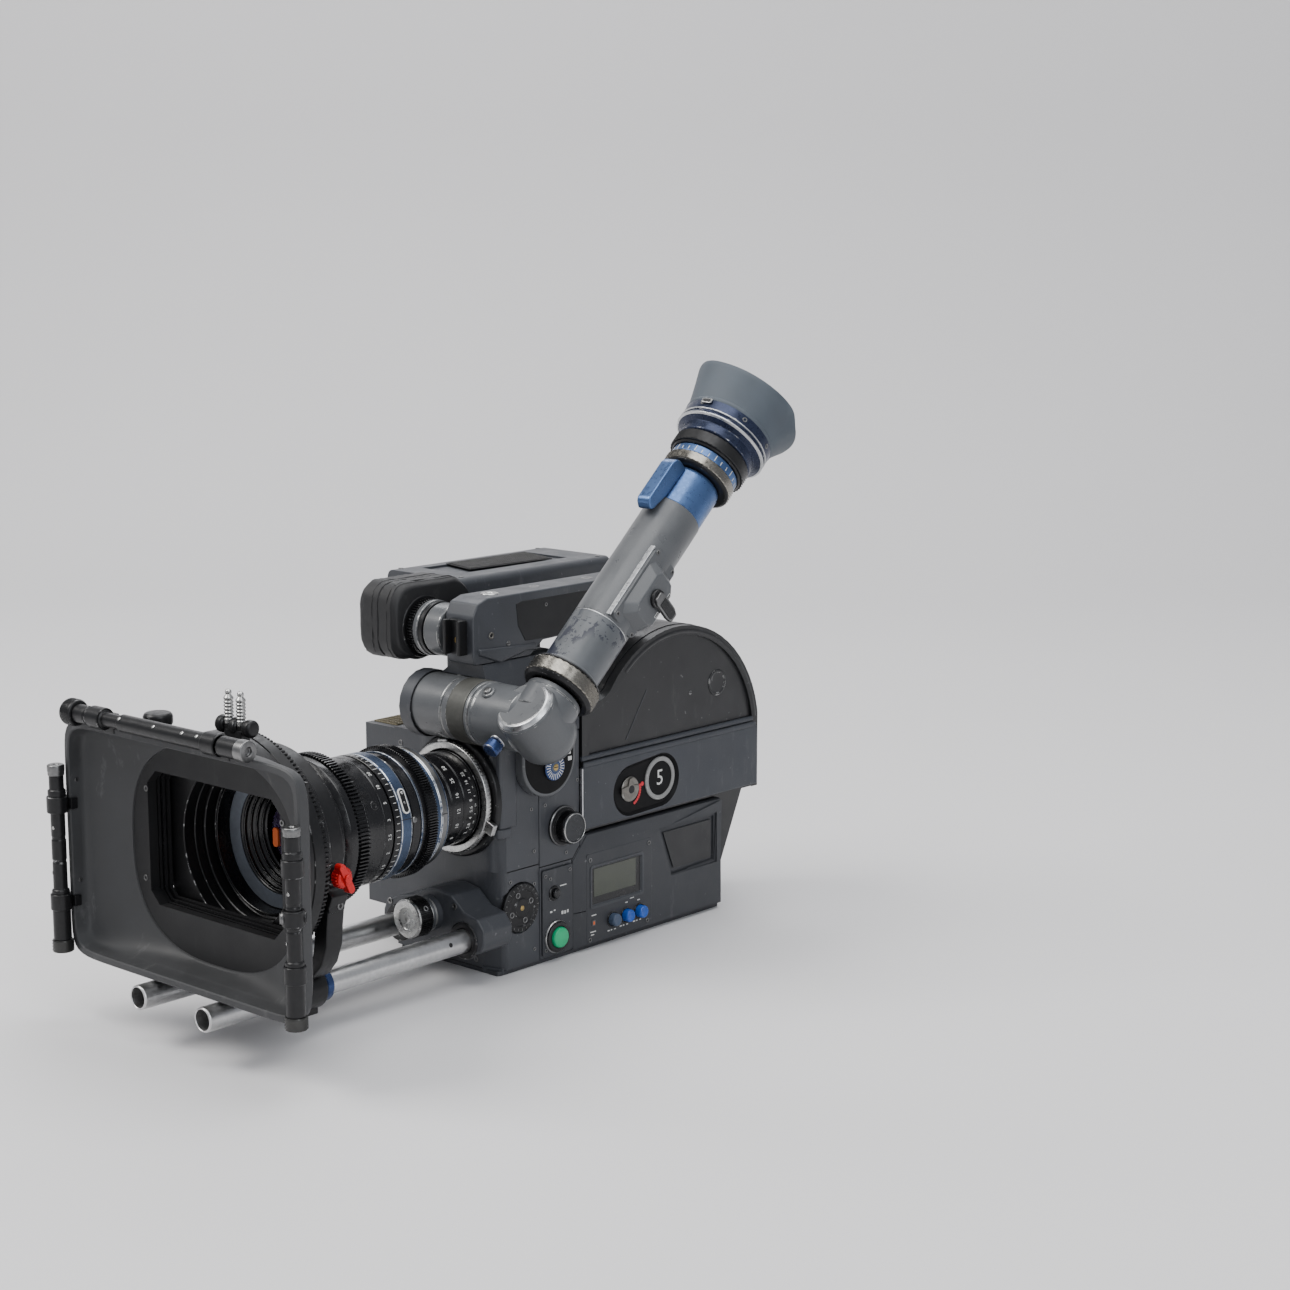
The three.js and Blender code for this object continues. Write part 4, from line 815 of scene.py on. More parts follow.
def lens_barrel():
    s = Shape()
    s.turned(LENS, [(22, -4), (28.5, -4), (28.5, 5), (30.2, 5), (30.2, 11), (26, 11), (26, 42), (33, 42),
            (33, 75.4),
                    (38.2, 75.4), (38.2, 76.4), (36.4, 76.6), (36.4, 134.6), (44.6, 134.6), (45.5, 136),
                            (45.5, 147),
                    (44.6, 147.8), (45.5, 148.6), (45.5, 158.4), (44.4, 160), (43.2, 160), (42.7, 152),
                            (42.4, 150.4),
                    (34, 148.6), (33, 147.8), (32.6, 145.4), (31, 144.6), (30.6, 142.6), (28.9, 141.8),
                            (28.5, 139.8),
                    (26.9, 139), (26.5, 136.6), (25.2, 136), (25, 120), (22, 100)], lens_black, 0.25)
    s.turned(LENS, [(34.2, 148.9), (42.3, 150.6), (42.1, 151.2), (34.4, 149.5)], blue_grey, 0.1)
    for r, t in ((32.7, 147.2), (30.7, 144.0), (28.6, 141.2), (26.6, 138.4)):
        s.turned(LENS, [(r - 0.35, t), (r + 0.1, t), (r + 0.1, t + 0.5), (r - 0.35, t + 0.5)], steel_dark,
                0.08)
    s.turned(LENS, [(38.6, 86.4), (40.2, 86.6), (40.2, 91.2), (36.6, 91.2), (36.6, 86.4)], lens_black, 0.25)
    marks = [LENS @ Matrix.Rotation(math.radians(a), 4, "Z") for a in range(0, 360, 6)]
    for i, place in enumerate(marks):
        s.box(40.15, 40.3, -0.16, 0.16, 87.2, 89.6 if i % 5 else 90.6, white_mark, 0, 1, place)
    s.piece("lens_barrel_body", "camera", "black_metal", "lens_barrel")

    i = Shape()
    i.turned(LENS, [(26.6, 11.6), (30, 11.6), (30, 23), (29.4, 23.4), (29.4, 24.2), (30, 24.6), (30, 33.4),
            (29.2, 34),
                    (29.2, 35), (31.2, 36), (31.2, 41), (30.4, 41.4), (26.6, 41.4)], lens_black, 0.3)
    around(18.2, ["2", "2.8", "4", "5.6", "8", "11", "16", "22"], 30, 3.3, -36, 11, i, white_mark)
    around(14.6, ["2", "2.8", "4", "5.6", "8", "11", "16", "22"], 30, 1.7, -32, 11, i, white_mark)
    around(28.8, ["8", "10", "12", "16", "25", "50"], 30, 3.8, -40, 19, i, white_mark)
    i.teeth(LENS, 30.4, 31.5, 36.6, 40.6, 120, lens_black)
    i.piece("iris_scale", "iris", "black_metal", "iris_ring")

    z = Shape()
    z.turned(LENS, [(33.6, 43.2), (36.2, 43.2), (38.4, 45.4), (38.6, 50.6), (37.8, 51), (37.8, 54.4),
            (33.6, 54.4)],
             blue_ring, 0.35)
    z.turned(LENS, [(33.6, 54.6), (38.4, 54.6), (38.9, 55.4), (38.9, 66.6), (38.2, 67.4), (38.2, 74.6),
            (33.6, 74.6)],
             lens_black, 0.3)
    z.teeth(LENS, 40.0, 41.7, 56.6, 64.2, 150, lens_black, 0.46, 1.4)
    z.turned(LENS, [(38.4, 46.6), (38.75, 46.8), (38.75, 50.2), (38.4, 50.4)], steel_dark, 0.1)
    z.screw(LENS @ Matrix.Rotation(math.radians(4), 4, "Z") @ along((38.2, 0, 48.6), (1, 0, 0)), 2.4,
            steel_dark)
    z.turned(LENS, [(34, 66.6), (38.8, 66.8), (39, 67.2), (39, 68.2), (34, 68.2)], blue_ring, 0.15)
    z.piece("zoom_grip", "zoom", "blue_metal", "zoom_ring")

    b = Shape()
    b.turned(LENS, [(37.4, 76.8), (39.5, 76.8), (40.2, 77.6), (40.2, 85.4), (39.5, 86.2), (37.4, 86.2)],
            blue_ring, 0.4)
    for turn in (24, 204):
        place = LENS @ Matrix.Rotation(math.radians(turn), 4, "Z") @ along((39.5, 0, 81.4), (1, 0, 0))
        b.slab(place, round_rect(-2.7, 2.7, -8, 8, 2.6), 0.2, 1.3, white_mark, 0.3)
        b.slab(place, round_rect(-1.9, 1.9, -7.1, 7.1, 1.85), 0.4, 1.45, black_gloss, 0.2)
        b.turned(place @ at(0, -5, 0), [(0, 1.4), (1.1, 1.4), (0.9, 2.1), (0, 2.2)], steel, 0.1, 24)
        b.turned(place @ at(0, 1.2, 0), [(0, 1.4), (1.0, 1.4), (0.8, 1.9), (0, 2.0)], steel_dark, 0.1, 24)
    seam = LENS @ Matrix.Rotation(math.radians(8), 4, "Z")
    b.box(39.9, 40.3, -0.25, 0.25, 77.4, 85.6, black_matt, 0, 1, seam)
    b.turned(seam @ along((40, -1.4, 75.8), (1, 0, 0)), [(0, -2), (2, -2), (2, 0.8), (1.4, 1.4), (0, 1.4)],
            steel_dark, 0.2, 24)
    b.piece("barrel_band", "camera", "black_metal")

    f = Shape()
    f.turned(LENS, [(36.8, 92), (39.4, 92), (40.2, 92.8), (40.2, 98.4), (39.9, 98.8), (39.9, 99.4),
            (40.2, 99.8),
                    (40.4, 108), (41.6, 112.8), (41.6, 114.6), (36.8, 114.6)], lens_black, 0.3)
    around(95.6, ["1", "1.2", "1.5", "2", "2.5", "3", "5", "10", "20"], 40.2, 3.4, -64, 15, f, white_mark)
    f.teeth(LENS, 44.8, 47.0, 116.4, 124.4, 118, lens_black, 0.46, 8)
    f.turned(LENS, [(36.8, 124.6), (45.2, 124.6), (45.8, 125.4), (45.8, 130.4), (43, 133.8), (36.8, 133.8)],
            lens_black, 0.4)
    f.turned(LENS, [(36.8, 114.8), (43.4, 114.8), (44, 115.4), (44, 116.2), (36.8, 116.2)], steel_dark, 0.2)
    f.turned(LENS @ Matrix.Rotation(math.radians(26), 4, "Z") @ along((40, 0, 104.4), (1, 0, 0)),
             [(0, -0.2), (3, -0.2), (3, 0.5), (2.4, 0.8), (1.4, 0.8), (1.2, 0.3), (0, 0.3)], lens_black, 0.1,
                     40)
    f.piece("focus_grip", "focus", "black_metal", "focus_ring")

    g = Shape()
    dome = [(24.8 * math.sin(a), 128 + 14.3 * math.cos(a)) for a in [math.radians(k) for k in range(0, 91,
            5)]]
    g.turned(LENS, [(0, 120)] + [(0, 142.3)] + dome[1:] + [(24.8, 120)], glass, 0)
    g.piece("front_element", "camera", "glass", "front_glass")
    # Painted reflection: a small orange rounded oblong on the front glass, standing in for the coating's glint
    # of a lamp.
    painted_glint = Shape()
    painted_glint.slab(LENS @ at(-9.6, -2.3, 0), round_rect(-2.4, 2.4, -6, 6, 2.2), 139, 143.0, orange_mark_and_painted_reflection, 0.5)
    painted_glint.piece("painted_glass_reflection", "camera", "glass")


def lens_port():
    s = Shape()
    s.turned(LENS, [(34.2, 0.3), (39.6, 0.3), (39.6, 3.8), (38.4, 5), (34.2, 5)], black_metal, 0.4)
    for angle in (-128, -96, -22, 152, 205):
        a = math.radians(angle)
        s.screw(at(37 * math.cos(a), -4.9, AXIS_Z + 37 * math.sin(a), ALONG_LENS), 1.5, steel_dark, "hex",
                0.4)
    s.cut(Shape().turned(along((-60, PIVOT.y, PIVOT.z), (1, 0, 0)),
            [(0, 0), (21.2, 0), (21.2, 120), (0, 120)],
                         black_metal, 0))
    s.piece("port_ring", "camera", "black_metal", "lens_port_ring")
    k = Shape()
    k.turned(LENS, [(30.7, 1), (33.8, 1), (33.8, 5.6), (36, 6.2), (36, 9.8), (35.2, 10.5), (31.4, 10.5),
            (30.7, 9.6)],
             steel, 0.35)
    k.teeth(LENS, 35.6, 36.3, 6.8, 9.4, 90, steel, 0.5, 1)
    for turn in (-112, 8, 128):
        place = LENS @ Matrix.Rotation(math.radians(turn), 4, "Z")
        reach = 43 if turn == -112 else 37.4
        k.box(-4, 4, 33, reach, 5.9, 9.8, steel, 0.9, 3, place)
    k.piece("lock_ring", "lock_ring", "steel", "lens_lock_ring")


lens_barrel()
lens_port()

# ---- Viewfinder -------------------------------------------------------------------------------------
TO_LOCAL_Y = Matrix.Rotation(-math.pi / 2, 4, "X")
SWING = at(*PIVOT, Matrix.Rotation(math.pi / 2, 4, "Y"))  # local z runs out along the swing axis
ELBOW_FACE = -18.4


def finder_elbow():
    s = Shape()
    lobe = FINDER @ TO_LOCAL_Y
    dome = [(20 * math.cos(math.radians(a)), 11 + 18 * math.sin(math.radians(a))) for a in range(0, 90, 6)]
    s.turned(lobe, [(0, ELBOW_FACE + 0.6), (16.2, ELBOW_FACE + 0.6), (16.6, ELBOW_FACE + 1.6),
            (19.4, ELBOW_FACE + 3.4),
                    (20, ELBOW_FACE + 4.6)] + dome + [(0, 29)], finder_paint, 0.15)
    s.turned(lobe, [(0, ELBOW_FACE), (15.8, ELBOW_FACE), (16.2, ELBOW_FACE + 0.3), (16.2, ELBOW_FACE + 2),
            (0, ELBOW_FACE + 2)],
             finder_satin, 0.3)
    s.turned(lobe, [(16.0, ELBOW_FACE + 0.2), (17.2, ELBOW_FACE + 0.6), (19.0, ELBOW_FACE + 2.9),
            (18.6, ELBOW_FACE + 3.3),
                    (16.0, ELBOW_FACE + 1.6)], rim_bright, 0.2)
    s.turned(SWING, [(0, 30.4), (19.9, 30.4), (20.6, 31), (20.6, 33), (20.2, 33.4), (20.2, 64), (17, 68),
            (0, 68)],
             finder_paint, 0.3)
    s.turned(FINDER, [(0, 2), (19.4, 2), (19.4, 17), (18.6, 18), (18.6, 21), (15, 22.6), (0, 22.6)],
            finder_paint, 0.4)
    # Casting seam down the lobe.
    for k in range(18):
        a = math.radians(-128 + 2.2 * k)
        y0 = -10 + 1.7 * k
        place = lobe @ at(20.05 * math.cos(a), 20.05 * math.sin(a), y0) @ Matrix.Rotation(a, 4, "Z")
        if y0 < 11:
            s.box(-0.15, 0.12, -0.45, 0.45, -0.2, 1.9, black_matt, 0, 1, place)
    boss = along((41, -12.5, 187.6), (0, -0.58, 0.82))
    s.turned(boss, [(0, -2), (4.6, -2), (4.6, 0.6), (3.8, 1.4), (0, 1.4)], finder_paint, 0.3, 48)
    s.turned(boss, [(0, 1.4), (2.7, 1.4), (2.7, 2.4), (2.1, 2.9), (0, 2.9)], steel_dark, 0.2, 40)
    s.screw(along((62, -14, 186), (0.2, -0.6, 0.78)), 1.2, steel_dark, height=0.3)
    s.piece("elbow", "finder", "light_paint", "finder_elbow")
    k = Shape()
    knob = along((53, -15.6, 160.4), (0, -0.81, -0.585))
    k.turned(knob, [(0, 0), (4.8, 0), (4.8, 3), (3.6, 3.2), (3.6, 4.0), (5.4, 4.2), (5.4, 10), (4.6, 10.8),
            (0, 10.8)],
             blue_deep, 0.3, 48)
    k.turned(knob, [(0, -1), (5.2, -1), (5.2, 2.2), (4.8, 2.6), (0, 2.6)], rim_bright, 0.2, 48)
    k.piece("elbow_release", "finder", "blue_metal")


def finder_tube():
    s = Shape()
    s.knurl(FINDER, 24.5, 25.6, 35.2, knurl_worn, 2.3, 1.1, 4)
    s.turned(FINDER, [(18, 22.8), (21.8, 22.8), (23.6, 24.6), (24, 25.5), (18, 25.5)], black_metal, 0.3)
    s.turned(FINDER, [(18, 35.3), (23.9, 35.3), (23.6, 36.6), (22.0, 37.2), (18, 37.2)], black_metal, 0.3)
    s.piece("coupling_ring", "finder", "black_metal", "finder_coupling_ring", sharp=15)
    t = Shape()
    t.turned(FINDER, [(14, 37.4), (19.8, 37.4), (19.8, 39.2), (19.1, 40), (19.1, 76.7), (14, 76.7)],
            finder_chipped, 0.25)
    t.turned(FINDER, [(14, 76.8), (18.9, 76.8), (18.9, 77.3), (14, 77.3)], rim_bright, 0)
    t.turned(FINDER, [(14, 77.4), (19.1, 77.4), (19.1, 171.8), (14, 171.8)], finder_satin, 0.25)
    t.piece("finder_tube_skin", "finder", "light_paint", "finder_tube")
    b = Shape()
    b.turned(FINDER, [(14, 172), (18.7, 172), (18.7, 196.6), (18.2, 199), (14, 199)], blue_anodised, 0.25)
    lug = [(-18.9, 172.5), (-22, 158), (-24.4, 156.4), (-28.6, 158.6), (-30.2, 161), (-30.2, 192),
            (-28.4, 195.8),
           (-25.4, 197.4), (-18, 197.4)]
    b.slab(FINDER @ Matrix.Rotation(math.pi / 2, 4, "Z") @ Matrix.Rotation(math.pi / 2, 4, "X"),
           lug, -5.6, 5.6, blue_anodised, 1.3, 3)
    b.piece("finder_blue_sleeve", "finder", "blue_metal", "finder_sleeve")

    p = Shape()
    side = FINDER @ ALONG_X  # local x is the finder's y, local y runs up the tube, local z points outward
    base = [(-13, 82), (-11, 79), (9, 79), (12, 82), (12, 134), (9, 137), (-9, 137), (-13, 133)]
    p.slab(side, base, 11, 18.7, finder_paint, 0.9)
    p.box(-14, -12.6, 79, 136, 12.5, 16.6, rim_bright, 0.3, 1, side)
    raised = layers(
        (17.5, [(-12, 90), (-8, 84), (10, 84), (15.4, 90), (15.4, 122), (10, 130), (-8, 130), (-12, 124)]),
        (25.2, [(-6, 96), (-3, 91), (9, 91), (13.6, 95), (13.6, 118), (9, 123), (-3, 123), (-6, 118)]),
    )
    p.skin(side, raised, finder_paint, 0.8)
    for x, y in ((-10.5, 133.6), (-10.5, 82.6), (9, 81.6), (9, 134)):
        p.screw(side @ at(x, y, 18.6), 1.7, steel_dark, "hex", 0.4)
    for x, y in ((11.6, 101), (11.6, 116.5)):
        p.slab(side @ at(x, y, 0), round_rect(-0.8, 0.8, -2.2, 2.2, 0.3, 2), 24.6, 25.35, white_mark, 0)
        p.slab(side @ at(x, y, 0), round_rect(-0.4, 0.4, -1.8, 1.8, 0.2, 2), 24.7, 25.45, black_matt, 0)
    p.piece("side_plate", "finder", "light_paint", "finder_side_plate")
    v = Shape()
    pivot = side @ at(4, 108, 0)
    v.turned(pivot, [(0, 25.4), (6.2, 25.4), (6.2, 27.2), (5.4, 28), (0, 28)], black_metal, 0.3, 48)
    v.slab(pivot, [(-3.2, -3), (-3.2, 3.4), (0, 5), (14, 5), (18.6, 3.2), (18.6, -3.2), (14, -4.6),
            (0, -4.6)],
           26.2, 29.4, steel_dark, 0.8)
    v.slab(pivot, [(2, -3.2), (2, 3.4), (15.6, 3.4), (16.6, 2.2), (16.6, -2.2), (15.6, -3.2)], 28.8, 29.9,
            black_gloss, 0.4)
    v.piece("shutter_lever", "lever", "black_metal", "finder_lever")


def eyepiece():
    d = Shape()
    d.turned(FINDER, [(17.4, 199.8), (22.4, 199.8), (24.2, 200.8), (24.4, 201.6), (17.4, 201.6)], black_metal,
            0.3)
    d.knurl(FINDER, 25.1, 201.8, 208.2, knurl_worn, 1.9, 0.8, 4)
    d.turned(FINDER, [(17.4, 208.4), (23.4, 208.4), (23.8, 208.9), (23.8, 214.2), (23.2, 214.8),
            (17.4, 214.8)],
             blue_anodised, 0.3)
    for a in range(0, 360, 12):
        place = FINDER @ Matrix.Rotation(math.radians(a), 4, "Z")
        d.box(23.7, 23.95, -0.25, 0.25, 209.4, 212 if a % 36 else 213.6, white_mark, 0, 1, place)
    d.turned(FINDER, [(17.4, 214.9), (24.4, 214.9), (25.6, 216), (17.4, 216)], black_metal, 0.2)
    d.knurl(FINDER, 27.1, 216.2, 224.4, knurl_black, 1.9, 0.8, 5)
    d.piece("diopter_grip", "diopter", "blue_metal", "diopter_ring", sharp=15)
    e = Shape()
    e.turned(FINDER, [(14, 199.4), (17, 199.4), (17, 224.8), (25.4, 225), (26.6, 226), (26.6, 232),
            (30.6, 233.8),
                      (31.8, 234.6), (31.8, 236.2), (30.6, 236.8), (30.6, 238), (31.6, 238.4), (31.8, 239),
                              (31.8, 246),
                      (31, 247), (27.6, 247), (27.6, 243), (18, 240), (14, 230)], blue_black, 0.3)
    e.turned(FINDER, [(30.6, 233.7), (32.1, 234.5), (32.1, 235.2), (31.4, 235.2)], rim_bright, 0.1)
    e.turned(FINDER, [(31.2, 237.9), (32.0, 238.2), (32.0, 238.8), (31.2, 238.8)], rim_bright, 0.1)
    e.turned(FINDER, [(0, 226), (17.6, 226), (17.6, 239.6), (14, 241), (0, 242)], glass, 0.2)
    for a in (-92, -34, 12, 60, 130, 200):
        place = FINDER @ Matrix.Rotation(math.radians(a), 4, "Z") @ along((31.6, 0, 242.6), (1, 0, 0))
        e.screw(place, 1.7, steel_dark, "hex", 0.5)
    clip = FINDER @ Matrix.Rotation(math.radians(-86), 4, "Z") @ along((31.9, 0, 243.6), (1, 0, 0))
    e.slab(clip, round_rect(-1.9, 1.9, -4, 4, 1.2, 3), 0.1, 1.5, steel, 0.4)
    e.slab(clip, round_rect(-1.0, 1.0, -2.8, 2.8, 0.7, 3), 0.6, 1.7, black_matt, 0)
    e.piece("eyepiece_body", "finder", "black_metal", "eyepiece_barrel")

    loops, count = [], 144
    outline = [(28.0, 245.0, 0.0), (31.2, 245.0, 0.0), (32.0, 250, 0.15), (33.4, 256, 0.35), (35.2, 263, 0.7),
               (36.8, 268.6, 0.95), (37.6, 271.4, 1.0), (36.9, 272.2, 1.0), (35.4, 268.8, 0.95),
                       (33.4, 262.8, 0.7),
               (31.4, 256, 0.35), (29.6, 250, 0.15)]
    for r, t, share in outline:
        loop = []
        for k in range(count):
            a = 2 * math.pi * k / count
            tip = max(0.0, math.cos(a - math.radians(228))) ** 6
            flap = 1 / (1 + math.exp((abs(math.degrees(math.atan2(math.sin(a - 1.05),
                    math.cos(a - 1.05)))) - 46) / 2.2))
            wave = 0.8 * math.sin(3 * a + 0.6)
            rise = share * (5.5 * tip + wave - 6.5 * flap)
            out = r + share * (1.5 * tip + 2.4 * flap)
            loop.append(Vector((out * math.cos(a), out * math.sin(a), t + rise)))
        loops.append(loop)
    c = Shape()
    c.loft(FINDER, loops, [0], rubber)
    c.turned(FINDER, [(28, 244.9), (31.4, 244.9), (32.2, 246.2), (32.2, 247.6), (31.4, 248.8), (28, 248.8)],
            rubber, 0.4)
    c.piece("eye_cup", "finder", "rubber", "eyecup", sharp=60)


def finder_barrel():
    s = Shape()
    s.turned(SWING, [(14, -21.6), (19.6, -21.6), (20.4, -20.8), (20.4, 5.2), (20, 5.9), (15.5, 5.9),
            (15.5, 29.4),
                     (14, 29.4)], finder_satin, 0.3)
    for turn, y in ((98, 0.0), (112, 1.0), (126, 0.5)):
        place = SWING @ Matrix.Rotation(math.radians(turn - 5), 4, "Z")
        s.box(20.3, 20.5, -0.3, 0.3, -9 + y, -4.5 + y, white_mark, 0, 1, place)
    mark = SWING @ Matrix.Rotation(math.radians(168), 4, "Z") @ along((20.3, 0, -1.2), (1, 0, 0))
    s.slab(mark, [(-1.6, 1.8), (1.6, 1.8), (0, -2)], 0, 0.25, white_mark, 0)
    s.turned(SWING, [(20.3, -21.8), (21.4, -21.8), (21.4, -19.8), (20.3, -19.8)], black_metal, 0.2)
    s.piece("finder_barrel_skin", "camera", "light_paint", "finder_barrel")
    k = Shape()
    k.turned(SWING, [(15.9, 6.3), (20, 6.3), (20.4, 6.9), (20.4, 11.4), (15.9, 11.4)], finder_satin, 0.3)
    k.knurl(SWING, 20.9, 11.6, 26.6, worn_band, 1.5, 0.3, 4)
    k.turned(SWING, [(15.9, 26.8), (20.4, 26.8), (20.4, 29), (19.8, 29.7), (15.9, 29.7)], finder_satin, 0.3)
    k.piece("lock_band", "finder_lock", "light_paint", "finder_lock_ring")


finder_elbow()
finder_tube()
eyepiece()
finder_barrel()

# ---- Body -------------------------------------------------------------------------------------------
SIDE = 36  # the body's side face
PANEL = 39  # the display's front face
RUN, TEST = (50, 16.5), (48, 46)  # (y, z) of each control on the side
PHASE, INCHING, DIAL = (57.5, 89), (18.5, 42.3), (41, 132)
KEY_Z = 16.8
KEY_Y = (102.5, 115.7, 128.9)
RELAY_Y, RELAY_Z = 6, 218.5


def groove(points, x, width=0.7, depth=0.9):
    """Thin upright strips on the side at x, to be cut along a line of (y, z) points."""
    s = Shape()
    for (y0, z0), (y1, z1) in zip(points, points[1:]):
        length = math.hypot(y1 - y0, z1 - z0)
        turn = Matrix.Rotation(math.atan2(z1 - z0, y1 - y0), 4, "Z")
        s.box(-width / 2, length + width / 2, -width / 2, width / 2, -depth, 4, black_matt, 0, 1,
                on_side(x, y0, z0) @ turn)
    return s


def side_screws(s, x, spots, r=1.5, material=None):
    for y, z in spots:
        s.screw(on_side(x, y, z), r, material or steel_dark, "hex", 0.45)


def front_housing():
    s = Shape()
    s.solid("front_housing", body_paint, 1.0, 3)
    facet = Shape()
    facet.slab(LEVEL, [(19.6, -3), (19.6, 0), (34, 4.2), (36, 7), (40, 7), (40, -3)], -1, 67.6, body_paint, 0)
    facet.slab(LEVEL, [(24, -3), (24, 0), (36, 2.6), (40, 3), (40, -3)], 67.6, 90.6, body_paint, 0)
    s.cut(facet)
    s.cut(groove([(7, 67.6), (36, 67.6)], SIDE), groove([(35.8, 2), (35.8, 149)], SIDE, 0.8, 0.9))
    s.slab(LEVEL, [(24, -1.6), (26, -2.6), (36.2, -1.8), (38.4, 0.8), (38.4, 9.4), (36, 10), (24, 2)], 90.8,
            97.2, body_paint, 1.0)
    s.slab(LEVEL, [(33.8, -0.6), (37.2, -0.6), (38.3, 1), (38.3, 13.4), (36.4, 15.4), (33.8, 15.4)], 97.2,
            149, body_paint, 1.2, 3)
    s.slab(LEVEL, [(19.8, -0.4), (21.6, -0.4), (34.4, 3.6), (34.4, 5), (19.8, 1)], 1, 4.8, body_paint, 0.5)
    for x, z in ((-54, 12), (-54, 140), (14, 8), (-50, 66), (27, 143)):
        s.screw(along((x, 0.2, z), (0, -1, 0)), 2.0, steel_dark, "hex", 0.5)
    side_screws(s, SIDE, ((29, 105), (35.2 - 4, 89 - 12), (31, 55.5), (9.6, 60.8), (31, 12)), 1.3)
    s.piece("front_casting", "camera", "body_paint", "front_housing")


def main_housing():
    s = Shape()
    s.solid("main_housing", body_paint, 0.9, 3)
    s.cut(groove([(36.4, 65), (66, 65)], SIDE), groove([(66.2, 3.2), (66.2, 64), (79.6, 79.4)], SIDE, 0.8,
            1.0))
    side_screws(s, SIDE, ((61.0, 70.3), (41.6, 105.3), (71.7, 116.8), (61.6, 60.6)), 1.3)
    s.piece("main_casting", "camera", "body_paint", "main_housing")


def rear_housing():
    s = Shape()
    s.solid("rear_housing", body_dark, 1.0, 3)
    outer = layers(
        (35, [(66.4, 3.4), (66.4, 62.6), (80.4, 78.6), (215.4, 78.6), (215.4, 3.4)]),
        (36.6, [(66.4, 3.4), (66.4, 62.6), (80.4, 78.6), (215.4, 78.6), (215.4, 3.4)]),
        (38.4, [(76.6, 4.4), (76.6, 61.4), (81.6, 67.2), (143, 67.2), (214.6, 77), (214.6, 4.4)]),
    )
    face = Shape()
    face.skin(SIDE_FACE, outer, body_dark, 0.6)
    recess = Shape()
    recess.skin(SIDE_FACE, layers(
        (36.9, [(153, 67.5), (207, 67.5), (207, 37), (164, 37)]),
        (39.5, [(146.4, 72), (212, 72), (212, 32.6), (160, 32.6)]),
    ), body_dark, 0)
    window = Shape().slab(SIDE_FACE, round_rect(78.6, 140.8, 5.6, 64.6, 2), 36.2, 42, body_dark, 0)
    face.cut(recess, window, groove([(66, 27.6), (76.4, 27.6)], 36.5, 0.6, 1.4))
    face.slab(SIDE_FACE, [(155, 65.6), (205, 65.6), (205, 38.8), (165.6, 38.8)], 36.7, 37.1, cover_black, 0.1)
    face.piece("rear_side_face", "camera", "body_paint")
    for k in range(7):
        s.box(-54 + 4.4 * k, -52 + 4.4 * k, 215.4, 216.7, 9, 21.6, black_matt, 0.4)
    s.turned(along((6, 215.4, 15), (0, 1, 0)), [(0, 0), (10, 0), (10, 2.4), (8.8, 3), (8, 3), (8, 1.2),
            (0, 1.2)],
             black_metal, 0.3, 64)
    for k in range(4):
        a = math.radians(45 + 90 * k)
        pin = along((6 + 3.8 * math.cos(a), 216.2, 15 + 3.8 * math.sin(a)), (0, 1, 0))
        s.turned(pin, [(0, 0), (1.2, 0), (1.2, 1.6), (0, 2)], brass, 0.1, 20)
    for x, z in ((-57, 7.5), (20, 7.5), (30, 10), (30, 70)):
        s.screw(along((x, 216, z), (0, 1, 0)), 2.0, steel_dark, "hex", 0.5)
    s.piece("rear_casting", "camera", "body_paint", "rear_housing")


